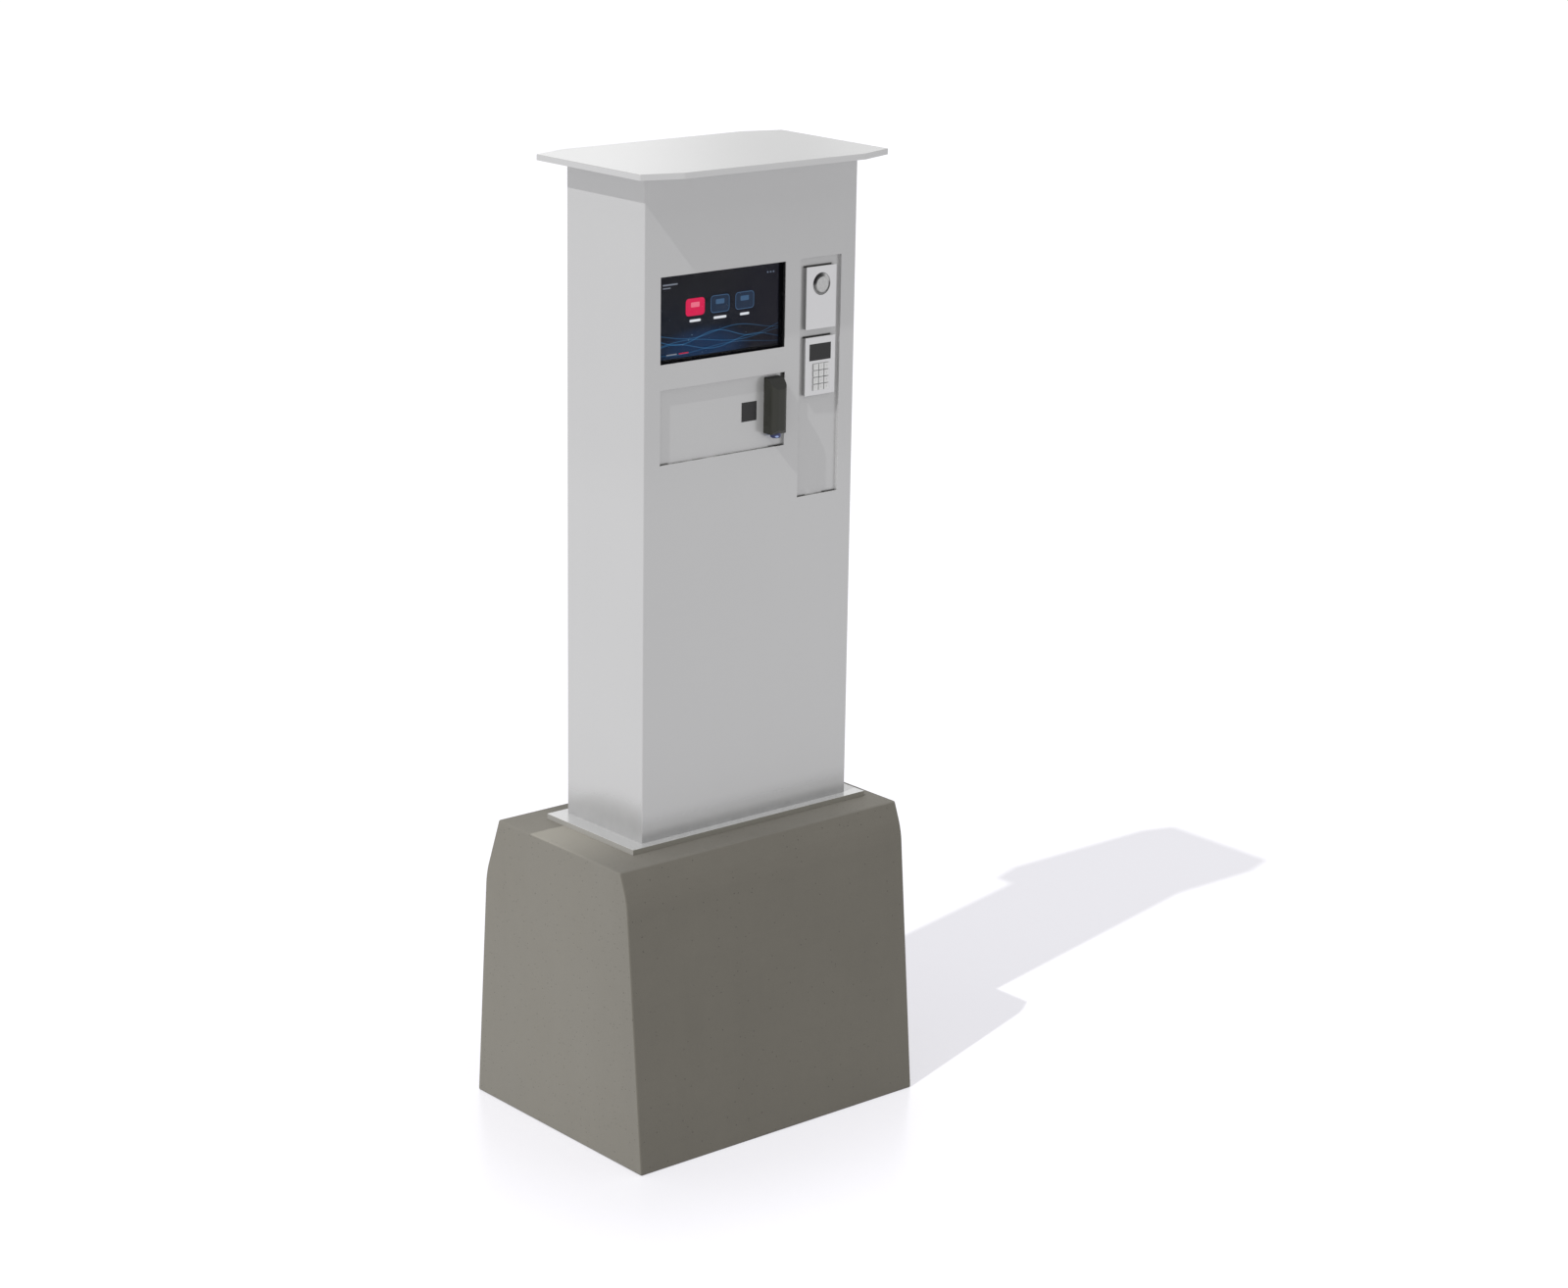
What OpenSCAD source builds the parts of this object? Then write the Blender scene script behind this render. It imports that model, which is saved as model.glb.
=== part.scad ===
// Self-service ticket terminal: a sheet-steel cabinet with a flat roof on a precast concrete plinth.
// Millimetres, +Z up, front towards -Y, origin at the centre of the plinth's underside.
// Inside cab() the origin is the centre of the cabinet's footprint on top of the base flange.

/* [Plinth] */
// Length of the plinth along X
plinth_w = 676; // [660:2:700]
// Depth of the plinth at the ground
plinth_d = 518; // [500:2:530]
// Height of the plinth
plinth_h = 578; // [560:2:600]
// Distance from the plinth's middle to its front edge on top
plinth_top_front = 191.5; // [180:0.5:205]
// Distance from the plinth's middle to its back edge on top
plinth_top_back = 185; // [180:1:205]
// Height of the lower edge of the front chamfer
front_kink_z = 524; // [500:2:545]
// Height of the lower edge of the back chamfer
back_kink_z = 461; // [440:1:500]
// Inner radius of the cable duct
duct_r = 32; // [25:0.5:40]

/* [Cabinet] */
// Width of the cabinet
cab_w = 500; // [496:1:510]
// Depth of the cabinet
cab_d = 228; // [224:1:240]
// Sideways offset of the cabinet from the plinth's middle
cab_x = 24; // [0:1:40]
// Backward offset of the cabinet from the plinth's middle
cab_y = 0.5; // [0:0.5:20]
// Height of the cabinet's walls above the flange
cab_h = 1252; // [1240:1:1300]
// Sheet thickness
sheet = 2; // [1.5:0.5:2.5]
// Length of the base flange
flange_w = 570; // [540:2:590]
// Depth of the base flange
flange_d = 266; // [256:2:290]
// Thickness of the base flange
flange_t = 10.5; // [8:0.5:12]

/* [Roof] */
// Length of the roof
roof_w = 583; // [560:1:600]
// Depth of the roof in its straight middle
roof_d = 358; // [340:1:370]
// Depth of the roof at its short ends
roof_end_d = 304; // [290:1:330]
// Length of the straight middle of the long edges
roof_mid_w = 424; // [400:2:460]
// Height of the roof's folded edge
roof_edge = 11; // [8:0.5:14]

/* [Front] */
// Depth of the two recesses behind the front
recess_depth = 6.5; // [6:0.5:7.5]
// Height of the module faceplates above the floor of their recess
module_rise = 8; // [7.5:0.5:9]
// Setback of the display glass behind the front
glass_setback = 8; // [6:0.5:9]
// Travel of a keypad key
key_travel = 1.2; // [0.6:0.1:1.4]
// Travel of the call button
button_travel = 2; // [1:0.1:2.4]

/* [Door] */
// Gap around the rear door
door_gap = 3; // [2.5:0.5:4]
// Depth of the rear door's folded edge
door_edge = 16; // [14:1:18]
// Height of the lock above the flange
lock_z = 640; // [500:10:800]

/* [Hidden] */
$fn = 64;
foot_z = plinth_h + flange_t;
half_w = cab_w / 2;
front_y = -cab_d / 2;
rear_y = cab_d / 2;
inner_x = half_w - sheet;
inner_y = front_y + sheet;
recess_y = front_y + recess_depth;
module_front = recess_y - module_rise;
module_in = module_front + sheet;
module_back = module_in + 13;

// Openings in the front as [left, right, bottom, top]
display_cut = [-212.5, 80, 899.5, 1058.5];
reader_cut = [-212.5, 81.5, 714, 852.5];
intercom_cut = [116, 215, 608.5, 1059.5];

display_x = (display_cut[0] + display_cut[1]) / 2;
display_z = (display_cut[2] + display_cut[3]) / 2;
glass_y = front_y + glass_setback;
glass_t = 4;
panel_t = 10;
frame_y = glass_y + glass_t + panel_t;
display_stud_x = 164;
display_stud_z = 74;

intercom_x = 165.7;
intercom_z = 983.65;
intercom_h = 117.5;
module_w = 73;
ring_x = 166.2;
ring_z = 1008.9;
ring_r = 21;
button_r = 16.5;
stem_r = 6;

keypad_z = 854.9;
keypad_h = 110;
rear_box_w = 26.5;
intercom_rear_h = 50.75;
keypad_rear_h = 46;
lcd = [139.2, 191.7, 865.4, 896.9];
key_x = 167.4;
key_z = 834.1;
key_pitch_x = 13.2;
key_pitch_z = 13;
key_size = [10.8, 10.6];
key_hole = [12.1, 11.9];
key_flange = [12.7, 12.5];
key_proud = 2.2;
key_back_y = module_front + 3.6;

card_x = 1.4;
card_z = 786.7;
card_size = 36;

reader_x = 54.4;
reader_z = 741.4;
reader_w = 36;
reader_d = 30.5;
reader_h = 109;
reader_chamfer = 7.5;
lens_y = -14;
ring_light_r = 10.2;
ring_light_in = 7.5;
ring_drop = 8;

anchor_pos = [[-205, -80], [205, -80], [-205, 60], [205, 60]];
duct_pos = [-cab_x, -cab_y];
roof_stud_pos = [[-200, -90], [200, -90], [-200, 60], [200, 60]];
plate_y = -62;
plate_stud_pos = [[-185, 80], [185, 80], [-185, 520], [185, 520]];
case_screw_pos = [[0, 284], [160, 284], [0, 516], [160, 516]];
reader_screw_pos = [[reader_x - 9, reader_z + reader_h - 14], [reader_x + 9, reader_z + reader_h - 14]];
intercom_screw_pos = [for (sx = [-1, 1], sz = [-1, 1]) [intercom_x + sx * 30.5, intercom_z + sz * 52.75]];
keypad_screw_pos = [for (sx = [-1, 1], sz = [-1, 1]) [intercom_x + sx * 30.5, keypad_z + sz * 49]];

lip_y = rear_y - 26;
rail_h = 24;
door_y = rear_y - 1;
door_x = inner_x - door_gap;
door_z0 = rail_h + door_gap;
door_z1 = cab_h - rail_h - door_gap;
hinge_x = half_w - 3;
hinge_y = rear_y + 7;
hinge_r = 6;
hinge_pin_r = 3;
hinge_z = [130, 626, 1090];
barrel_h = 30;
lock_x = -205;
lock_r = 8;

// Frame of the cabinet
module cab() {
    translate([cab_x, cab_y, foot_z]) children();
}

// Box between two opposite corners
module box(lo, hi) {
    translate(lo) cube(hi - lo);
}

// Box over a front opening [left, right, bottom, top], widened by grow
module front_box(cut, y0, y1, grow = 0) {
    box([cut[0] - grow, y0, cut[2] - grow], [cut[1] + grow, y1, cut[3] + grow]);
}

// Round bar along Y at the place [x, z]
module rod_y(r, y0, y1, at) {
    translate([at[0], y0, at[1]]) rotate([-90, 0, 0]) cylinder(r = r, h = y1 - y0);
}

// Hexagonal nut along Y with a round bore
module nut_y(across, bore_r, y0, y1, at) {
    translate([at[0], y0, at[1]]) rotate([-90, 0, 0]) difference() {
        cylinder(r = across / sqrt(3), h = y1 - y0, $fn = 6);
        translate([0, 0, -1]) cylinder(r = bore_r, h = y1 - y0 + 2);
    }
}

// Profile pulled along X from x0 to x1, drawn in Y and Z
module along_x(x0, x1, points) {
    translate([x0, 0, 0]) rotate([90, 0, 90]) linear_extrude(x1 - x0) polygon(points);
}

// Headed stud that is cast into the plinth
module anchor_shape(at) {
    translate([at[0], at[1], -110]) cylinder(r = 6, h = 134);
    translate([at[0], at[1], -122]) cylinder(r = 10, h = 12);
}

// Concrete block with battered long faces, chamfered shoulders and a cable duct
module plinth() {
    half = plinth_d / 2;
    color([0.52, 0.51, 0.48]) difference() {
        along_x(-plinth_w / 2, plinth_w / 2, [
            [-half, 0], [half, 0],
            [half - 31.5, back_kink_z], [plinth_top_back, plinth_h],
            [-plinth_top_front, plinth_h], [-half + 46.5, front_kink_z]
        ]);
        translate([0, 0, -1]) cylinder(r = duct_r + 3, h = plinth_h + 2);
        cab() for (at = anchor_pos) anchor_shape(at);
    }
}

// Plastic pipe cast into the plinth
module duct_sleeve() {
    color([0.42, 0.44, 0.46]) difference() {
        cylinder(r = duct_r + 3, h = plinth_h);
        translate([0, 0, -1]) cylinder(r = duct_r, h = plinth_h + 2);
    }
}

module anchor_studs() {
    color([0.7, 0.7, 0.7]) cab() for (at = anchor_pos) anchor_shape(at);
}

// Flanged hexagonal nuts on the anchor studs
module anchor_nuts() {
    color([0.75, 0.75, 0.74]) cab() for (at = anchor_pos) translate([at[0], at[1], 0]) difference() {
        union() {
            cylinder(r = 14, h = 3);
            translate([0, 0, 3]) cylinder(r = 18 / sqrt(3), h = 9, $fn = 6);
        }
        translate([0, 0, -1]) cylinder(r = 6, h = 15);
    }
}

// Plate under the cabinet, with holes for the anchors and the cable gland
module base_flange() {
    color([0.78, 0.78, 0.78]) cab() difference() {
        box([-flange_w / 2, -flange_d / 2, -flange_t], [flange_w / 2, flange_d / 2, 0]);
        for (at = anchor_pos) translate([at[0], at[1], -flange_t - 1]) cylinder(r = 7, h = flange_t + 2);
        translate([duct_pos[0], duct_pos[1], -flange_t - 1]) cylinder(r = 16, h = flange_t + 2);
    }
}

// Cable gland screwed into the base flange above the duct
module cable_gland() {
    color([0.2, 0.2, 0.21]) cab() translate([duct_pos[0], duct_pos[1], 0]) difference() {
        union() {
            translate([0, 0, -flange_t]) cylinder(r = 16, h = flange_t);
            cylinder(r = 36 / sqrt(3), h = 8, $fn = 6);
            translate([0, 0, 8]) cylinder(r = 15, h = 4);
            translate([0, 0, 12]) cylinder(r = 34 / sqrt(3), h = 12, $fn = 6);
            translate([0, 0, 24]) cylinder(r1 = 17, r2 = 13, h = 6);
        }
        translate([0, 0, -flange_t - 9]) cylinder(r = 9, h = flange_t + 50);
    }
}

// Front of the cabinet with its three openings
module front_panel() {
    color([0.76, 0.76, 0.76]) cab() difference() {
        box([-half_w, front_y, 0], [half_w, inner_y, cab_h]);
        front_box(display_cut, front_y - 1, inner_y + 1);
        front_box(reader_cut, front_y - 1, inner_y + 1);
        front_box(intercom_cut, front_y - 1, inner_y + 1);
    }
}

module left_wall() {
    color([0.78, 0.78, 0.78]) cab() box([-half_w, inner_y, 0], [-inner_x, rear_y, cab_h]);
}

module right_wall() {
    color([0.78, 0.78, 0.78]) cab() box([inner_x, inner_y, 0], [half_w, rear_y, cab_h]);
}

// Sealing lip around the door opening, with an angle rail below and above the door
module rear_frame() {
    color([0.76, 0.76, 0.76]) cab() {
        difference() {
            box([-inner_x, lip_y, 0], [inner_x, lip_y + sheet, cab_h]);
            box(
                [-inner_x + 20, lip_y - 1, rail_h + 20],
                [inner_x - 20, lip_y + sheet + 1, cab_h - rail_h - 20]
            );
        }
        box([-inner_x, rear_y - sheet, 0], [inner_x, rear_y, rail_h]);
        box([-inner_x, lip_y, rail_h - sheet], [inner_x, rear_y, rail_h]);
        box([-inner_x, rear_y - sheet, cab_h - rail_h], [inner_x, rear_y, cab_h]);
        box([-inner_x, lip_y, cab_h - rail_h], [inner_x, rear_y, cab_h - rail_h + sheet]);
    }
}

// Plate that closes the cabinet under the roof
module cabinet_top() {
    color([0.74, 0.74, 0.74]) cab() difference() {
        box([-inner_x, inner_y, cab_h - sheet], [inner_x, lip_y, cab_h]);
        for (at = roof_stud_pos)
            translate([at[0], at[1], cab_h - sheet - 1]) cylinder(r = 3.3, h = sheet + 2);
    }
}

// Outline of the roof with its four long corner cuts
module roof_outline(w, mid, d, end_d) {
    polygon([
        [-w / 2, -end_d / 2], [-mid / 2, -d / 2], [mid / 2, -d / 2], [w / 2, -end_d / 2],
        [w / 2, end_d / 2], [mid / 2, d / 2], [-mid / 2, d / 2], [-w / 2, end_d / 2]
    ]);
}

// Roof folded down along all edges, with welded studs that pass through the cabinet top
module roof_plate() {
    top_z = cab_h + sheet;
    color([0.84, 0.84, 0.84]) cab() {
        difference() {
            translate([0, 0, top_z - roof_edge]) linear_extrude(roof_edge)
                roof_outline(roof_w, roof_mid_w, roof_d, roof_end_d);
            translate([0, 0, top_z - roof_edge - 1]) linear_extrude(roof_edge + 1 - sheet)
                roof_outline(roof_w - 2 * sheet, roof_mid_w - 1, roof_d - 2 * sheet, roof_end_d - 3);
        }
        for (at = roof_stud_pos)
            translate([at[0], at[1], cab_h - 18]) cylinder(r = 3, h = 18 + sheet / 2);
    }
}

// Weld studs and standoffs behind the front panel
module panel_studs() {
    color([0.7, 0.7, 0.7]) cab() {
        for (sx = [-1, 1], sz = [-1, 1])
            rod_y(
                3, inner_y, frame_y + 12,
                [display_x + sx * display_stud_x, display_z + sz * display_stud_z]
            );
        for (at = plate_stud_pos) {
            rod_y(8, inner_y, plate_y, at);
            rod_y(3, plate_y - 1, plate_y + 14, at);
        }
    }
}

// Hexagonal nuts on the studs of the display frame, the mounting plate and the roof
module panel_nuts() {
    color([0.75, 0.75, 0.74]) cab() {
        for (sx = [-1, 1], sz = [-1, 1])
            nut_y(10, 3, frame_y + sheet, frame_y + sheet + 5,
                [display_x + sx * display_stud_x, display_z + sz * display_stud_z]);
        for (at = plate_stud_pos) nut_y(10, 3, plate_y + sheet, plate_y + sheet + 5, at);
        for (at = roof_stud_pos) translate([at[0], at[1], cab_h - sheet - 5]) difference() {
            cylinder(r = 10 / sqrt(3), h = 5, $fn = 6);
            translate([0, 0, -1]) cylinder(r = 3, h = 7);
        }
    }
}

// Pan-head screw along -Y with its head behind the sheet at y
module screw_y(y, length, at) {
    rod_y(2, y - length, y + 0.5, at);
    difference() {
        rod_y(4, y, y + 2.8, at);
        box([at[0] - 3, y + 1.6, at[1] - 0.5], [at[0] + 3, y + 3, at[1] + 0.5]);
        box([at[0] - 0.5, y + 1.6, at[1] - 3], [at[0] + 0.5, y + 3, at[1] + 3]);
    }
}

// Screws of the two modules, the code reader and the computer case
module panel_screws() {
    color([0.72, 0.72, 0.71]) cab() {
        for (at = concat(intercom_screw_pos, keypad_screw_pos, reader_screw_pos))
            screw_y(recess_y + sheet, 6.5, at);
        for (at = case_screw_pos) screw_y(plate_y + 2 * sheet, 8, at);
    }
}

// Rubber frame between the front panel and the display glass
module display_gasket() {
    color([0.06, 0.06, 0.06]) cab() difference() {
        front_box(display_cut, inner_y, glass_y, 12);
        front_box(display_cut, inner_y - 1, glass_y + 1, 0.5);
    }
}

module display_glass() {
    color([0.1, 0.11, 0.13]) cab() front_box(display_cut, glass_y, glass_y + glass_t, 12);
}

// Liquid crystal panel in its thin metal frame
module display_panel() {
    color([0.14, 0.14, 0.15]) cab() {
        front_box(display_cut, glass_y + glass_t, glass_y + glass_t + 4, 10);
        front_box(display_cut, glass_y + glass_t + 4, frame_y, 4);
    }
}

// Clamp frame that holds the display against the front panel
module display_frame() {
    reach_x = display_stud_x + 8;
    reach_z = display_stud_z + 20;
    color([0.62, 0.62, 0.63]) cab() difference() {
        box(
            [display_x - reach_x, frame_y, display_z - reach_z],
            [display_x + reach_x, frame_y + sheet, display_z + reach_z]
        );
        box(
            [display_x - 80, frame_y - 1, display_z - 52],
            [display_x + 80, frame_y + sheet + 1, display_z + 52]
        );
        for (sx = [-1, 1], sz = [-1, 1])
            rod_y(3.2, frame_y - 1, frame_y + sheet + 1,
                [display_x + sx * display_stud_x, display_z + sz * display_stud_z]);
    }
}

// Welded pan behind a front opening: back plate, four walls and an outer flange
module recess_pan(cut) {
    difference() {
        union() {
            front_box(cut, inner_y, recess_y + sheet, sheet);
            front_box(cut, inner_y, inner_y + sheet, 11);
        }
        front_box(cut, inner_y - 1, recess_y);
    }
}

module reader_recess() {
    hole = card_size / 2 + 0.2;
    color([0.76, 0.76, 0.76]) cab() difference() {
        recess_pan(reader_cut);
        box(
            [card_x - hole, recess_y - 1, card_z - hole],
            [card_x + hole, recess_y + sheet + 1, card_z + hole]
        );
        for (at = reader_screw_pos) rod_y(2.2, recess_y - 1, recess_y + sheet + 1, at);
    }
}

module card_reader_window() {
    half = card_size / 2;
    color([0.05, 0.05, 0.05]) cab()
        box([card_x - half, recess_y, card_z - half], [card_x + half, recess_y + sheet, card_z + half]);
}

// Contactless reader behind its window, with a cable socket on top
module card_reader_module() {
    color([0.16, 0.16, 0.17]) cab() {
        box(
            [card_x - 30, recess_y + sheet, card_z - 26],
            [card_x + 30, recess_y + sheet + 10, card_z + 26]
        );
        box(
            [card_x - 24, recess_y + sheet + 9, card_z - 20],
            [card_x + 24, recess_y + sheet + 13, card_z + 20]
        );
        box(
            [card_x - 9, recess_y + sheet + 2, card_z + 25],
            [card_x + 9, recess_y + sheet + 8, card_z + 31]
        );
    }
}

// Upright housing with chamfered front edges and a sloping top, hollow at the back
module code_reader_housing() {
    half = reader_w / 2;
    c = reader_chamfer;
    color([0.2, 0.2, 0.18]) cab() difference() {
        translate([reader_x, recess_y, reader_z]) difference() {
            linear_extrude(reader_h) polygon([
                [-half, 0], [-half, -reader_d + c], [-half + c, -reader_d],
                [half - c, -reader_d], [half, -reader_d + c], [half, 0]
            ]);
            along_x(-half - 1, half + 1, [
                [-reader_d - 1, reader_h - 17.5], [-12, reader_h + 1], [-reader_d - 1, reader_h + 1]
            ]);
            box([-15, -24, 18], [15, 1, reader_h - 30]);
            translate([0, lens_y, -1]) cylinder(r = ring_light_r, h = 7);
            translate([0, lens_y, 5]) cylinder(r = ring_light_in, h = 14);
        }
        for (at = reader_screw_pos) rod_y(2, recess_y - 8, recess_y + 1, at);
    }
}

// Translucent ring that lights the code, standing out below the housing
module code_reader_ring() {
    color([0.15, 0.3, 0.8]) cab() translate([reader_x, recess_y + lens_y, reader_z]) difference() {
        union() {
            translate([0, 0, 2 - ring_drop]) cylinder(r = ring_light_r, h = ring_drop + 4);
            translate([0, 0, -ring_drop]) cylinder(r1 = ring_light_r - 2, r2 = ring_light_r, h = 2);
        }
        translate([0, 0, -ring_drop - 1]) cylinder(r = ring_light_in, h = ring_drop + 8);
    }
}

module code_reader_lens() {
    color([0.5, 0.6, 0.7]) cab() translate([reader_x, recess_y + lens_y, reader_z - ring_drop + 1.5])
        cylinder(r = ring_light_in, h = 2);
}

// Scan engine inside the code reader
module code_reader_engine() {
    color([0.12, 0.3, 0.16]) cab() translate([reader_x, recess_y, reader_z]) {
        box([-11, lens_y - 8, 20], [11, -2, 58]);
        translate([0, lens_y, 10]) cylinder(r = 6, h = 11);
    }
}

// Box that passes through the floor of the recess behind a module
module rear_box(cz, half_h, y0, y1, grow = 0) {
    half = rear_box_w + grow;
    box([intercom_x - half, y0, cz - half_h - grow], [intercom_x + half, y1, cz + half_h + grow]);
}

module intercom_recess() {
    color([0.76, 0.76, 0.76]) cab() difference() {
        recess_pan(intercom_cut);
        rear_box(intercom_z, intercom_rear_h, recess_y - 1, recess_y + sheet + 1, 0.4);
        rear_box(keypad_z, keypad_rear_h, recess_y - 1, recess_y + sheet + 1, 0.4);
        for (at = concat(intercom_screw_pos, keypad_screw_pos))
            rod_y(2.2, recess_y - 1, recess_y + sheet + 1, at);
    }
}

// Shallow housing with corner posts for the screws and a narrower box behind
module module_housing(cz, h, rear_h, screw_pos) {
    w = module_w / 2 - 1;
    difference() {
        union() {
            difference() {
                union() {
                    box(
                        [intercom_x - w, module_in, cz - h / 2 + 1],
                        [intercom_x + w, recess_y, cz + h / 2 - 1]
                    );
                    rear_box(cz, rear_h, recess_y - 1, module_back);
                }
                box(
                    [intercom_x - w + 2, module_in - 1, cz - h / 2 + 3],
                    [intercom_x + w - 2, recess_y - 1.5, cz + h / 2 - 3]
                );
                rear_box(cz, rear_h, recess_y - 2, module_back - 2, -2);
            }
            for (at = screw_pos) rod_y(4, module_in, recess_y - 1, at);
        }
        for (at = screw_pos) rod_y(2, module_in + 1, recess_y + 1, at);
    }
}

// Intercom housing with sound slots in its underside
module intercom_housing() {
    low = intercom_z - intercom_h / 2;
    color([0.35, 0.35, 0.36]) cab() difference() {
        module_housing(intercom_z, intercom_h, intercom_rear_h, intercom_screw_pos);
        for (i = [-3 : 3])
            box(
                [intercom_x + i * 6 - 1.5, module_in + 1, low],
                [intercom_x + i * 6 + 1.5, recess_y - 2, low + 4]
            );
    }
}

module intercom_faceplate() {
    w = module_w / 2;
    color([0.85, 0.85, 0.85]) cab() difference() {
        box(
            [intercom_x - w, module_front, intercom_z - intercom_h / 2],
            [intercom_x + w, module_in, intercom_z + intercom_h / 2]
        );
        rod_y(ring_r, module_front - 1, module_in + 1, [ring_x, ring_z]);
    }
}

// Dark cup around the call button that guides its stem
module button_collar() {
    at = [ring_x, ring_z];
    color([0.15, 0.15, 0.15]) cab() difference() {
        rod_y(ring_r + 2, module_in, module_in + 6, at);
        rod_y(ring_r, module_in - 1, module_in + 2.5, at);
        rod_y(stem_r + 0.06, module_in - 1, module_in + 7, at);
    }
}

// Round push button with a guided stem
module call_button() {
    at = [ring_x, ring_z];
    color([0.72, 0.72, 0.72]) cab() {
        rod_y(button_r, module_front - 0.6, module_front + 1.8, at);
        rod_y(stem_r, module_front + 1, module_in + 8, at);
    }
}

// Loudspeaker on the floor of the intercom housing
module intercom_speaker() {
    at = [intercom_x, intercom_z - 28];
    color([0.1, 0.1, 0.1]) cab() {
        rod_y(19, module_back - 5, module_back - 2, at);
        rod_y(14, module_back - 8, module_back - 4, at);
    }
}

module keypad_housing() {
    color([0.35, 0.35, 0.36]) cab() module_housing(keypad_z, keypad_h, keypad_rear_h, keypad_screw_pos);
}

// Centre of the key in column 0 to 2 and row 0 to 3, counted from the top left
function key_at(col, row) = [key_x + (col - 1) * key_pitch_x, key_z + (1.5 - row) * key_pitch_z];

module keypad_faceplate() {
    w = module_w / 2;
    color([0.85, 0.85, 0.85]) cab() difference() {
        box(
            [intercom_x - w, module_front, keypad_z - keypad_h / 2],
            [intercom_x + w, module_in, keypad_z + keypad_h / 2]
        );
        front_box(lcd, module_front - 1, module_in + 1);
        for (col = [0 : 2], row = [0 : 3]) {
            at = key_at(col, row);
            box([at[0] - key_hole[0] / 2, module_front - 1, at[1] - key_hole[1] / 2],
                [at[0] + key_hole[0] / 2, module_in + 1, at[1] + key_hole[1] / 2]);
        }
    }
}

module keypad_window() {
    color([0.1, 0.1, 0.1]) cab() front_box(lcd, module_front + 0.3, module_in + 0.6);
}

// Circuit board with one push switch under each key
module keypad_board() {
    color([0.1, 0.32, 0.18]) cab() {
        box(
            [intercom_x - 24, module_back - 3.6, keypad_z - 43.5],
            [intercom_x + 24, module_back - 2, keypad_z + 43.5]
        );
        for (col = [0 : 2], row = [0 : 3]) {
            at = key_at(col, row);
            box([at[0] - 3, module_back - 7, at[1] - 3], [at[0] + 3, module_back - 3, at[1] + 3]);
            rod_y(1.7, module_back - 9.7, module_back - 6, at);
        }
    }
}

// Square key with a retaining flange behind the faceplate
module key(col, row) {
    at = key_at(col, row);
    color([0.83, 0.83, 0.83]) cab() {
        box([at[0] - key_size[0] / 2, module_front - key_proud, at[1] - key_size[1] / 2],
            [at[0] + key_size[0] / 2, key_back_y, at[1] + key_size[1] / 2]);
        box([at[0] - key_flange[0] / 2, key_back_y - 1.2, at[1] - key_flange[1] / 2],
            [at[0] + key_flange[0] / 2, key_back_y, at[1] + key_flange[1] / 2]);
    }
}

module key_1() { key(0, 0); }
module key_2() { key(1, 0); }
module key_3() { key(2, 0); }
module key_4() { key(0, 1); }
module key_5() { key(1, 1); }
module key_6() { key(2, 1); }
module key_7() { key(0, 2); }
module key_8() { key(1, 2); }
module key_9() { key(2, 2); }
module key_star() { key(0, 3); }
module key_0() { key(1, 3); }
module key_hash() { key(2, 3); }

// Folded door with a return for the gasket and a hole for the lock
module rear_door() {
    back = door_y - door_edge;
    color([0.78, 0.78, 0.78]) cab() difference() {
        box([-door_x, back, door_z0], [door_x, door_y, door_z1]);
        box(
            [-door_x + sheet, back + sheet, door_z0 + sheet],
            [door_x - sheet, door_y - sheet, door_z1 - sheet]
        );
        box([-door_x + 14, back - 1, door_z0 + 14], [door_x - 14, back + sheet + 1, door_z1 - 14]);
        rod_y(11, door_y - 5, door_y + 1, [lock_x, lock_z]);
    }
}

// Rubber seal on the door's return
module door_gasket() {
    back = door_y - door_edge;
    lip = lip_y + sheet + 0.4;
    color([0.06, 0.06, 0.06]) cab() difference() {
        box([-door_x + 2, lip, door_z0 + 2], [door_x - 2, back, door_z1 - 2]);
        box([-door_x + 12, lip - 1, door_z0 + 12], [door_x - 12, back + 1, door_z1 - 12]);
    }
}

// Lower hinge halves with their pins, welded to the rear edge of the right wall
module hinge_pintles() {
    color([0.74, 0.74, 0.74]) cab() for (z = hinge_z) {
        translate([hinge_x, hinge_y, z]) cylinder(r = hinge_r, h = barrel_h);
        translate([hinge_x, hinge_y, z + barrel_h - 1]) cylinder(r = hinge_pin_r, h = barrel_h - 3);
        box([hinge_x - 1, rear_y, z], [half_w, hinge_y, z + barrel_h]);
    }
}

// Upper hinge halves on the door, bored for the pins
module hinge_gudgeons() {
    color([0.74, 0.74, 0.74]) cab() for (z = hinge_z) translate([0, 0, z + barrel_h + 0.4]) difference() {
        union() {
            translate([hinge_x, hinge_y, 0]) cylinder(r = hinge_r, h = barrel_h);
            box([door_x - 10, door_y, 0], [hinge_x, hinge_y, barrel_h]);
        }
        translate([hinge_x, hinge_y, -1]) cylinder(r = hinge_pin_r + 0.06, h = barrel_h - 1);
    }
}

// Lock housing clamped in the door
module lock_housing() {
    at = [lock_x, lock_z];
    color([0.8, 0.8, 0.8]) cab() difference() {
        union() {
            rod_y(14.5, door_y, door_y + 3, at);
            rod_y(11, door_y - 21, door_y + 1, at);
            nut_y(27, 11, door_y - 8, door_y - 2, at);
        }
        rod_y(lock_r + 0.06, door_y - 22, door_y + 4, at);
    }
}

// Turning core of the lock with a key slot
module lock_core() {
    at = [lock_x, lock_z];
    color([0.7, 0.7, 0.68]) cab() difference() {
        union() {
            rod_y(lock_r, door_y - 21.4, door_y + 2.6, at);
            rod_y(5, lip_y - 4, door_y - 20, at);
        }
        box([lock_x - 0.9, door_y - 5, lock_z - 4.5], [lock_x + 0.9, door_y + 3, lock_z + 4.5]);
    }
}

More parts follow.
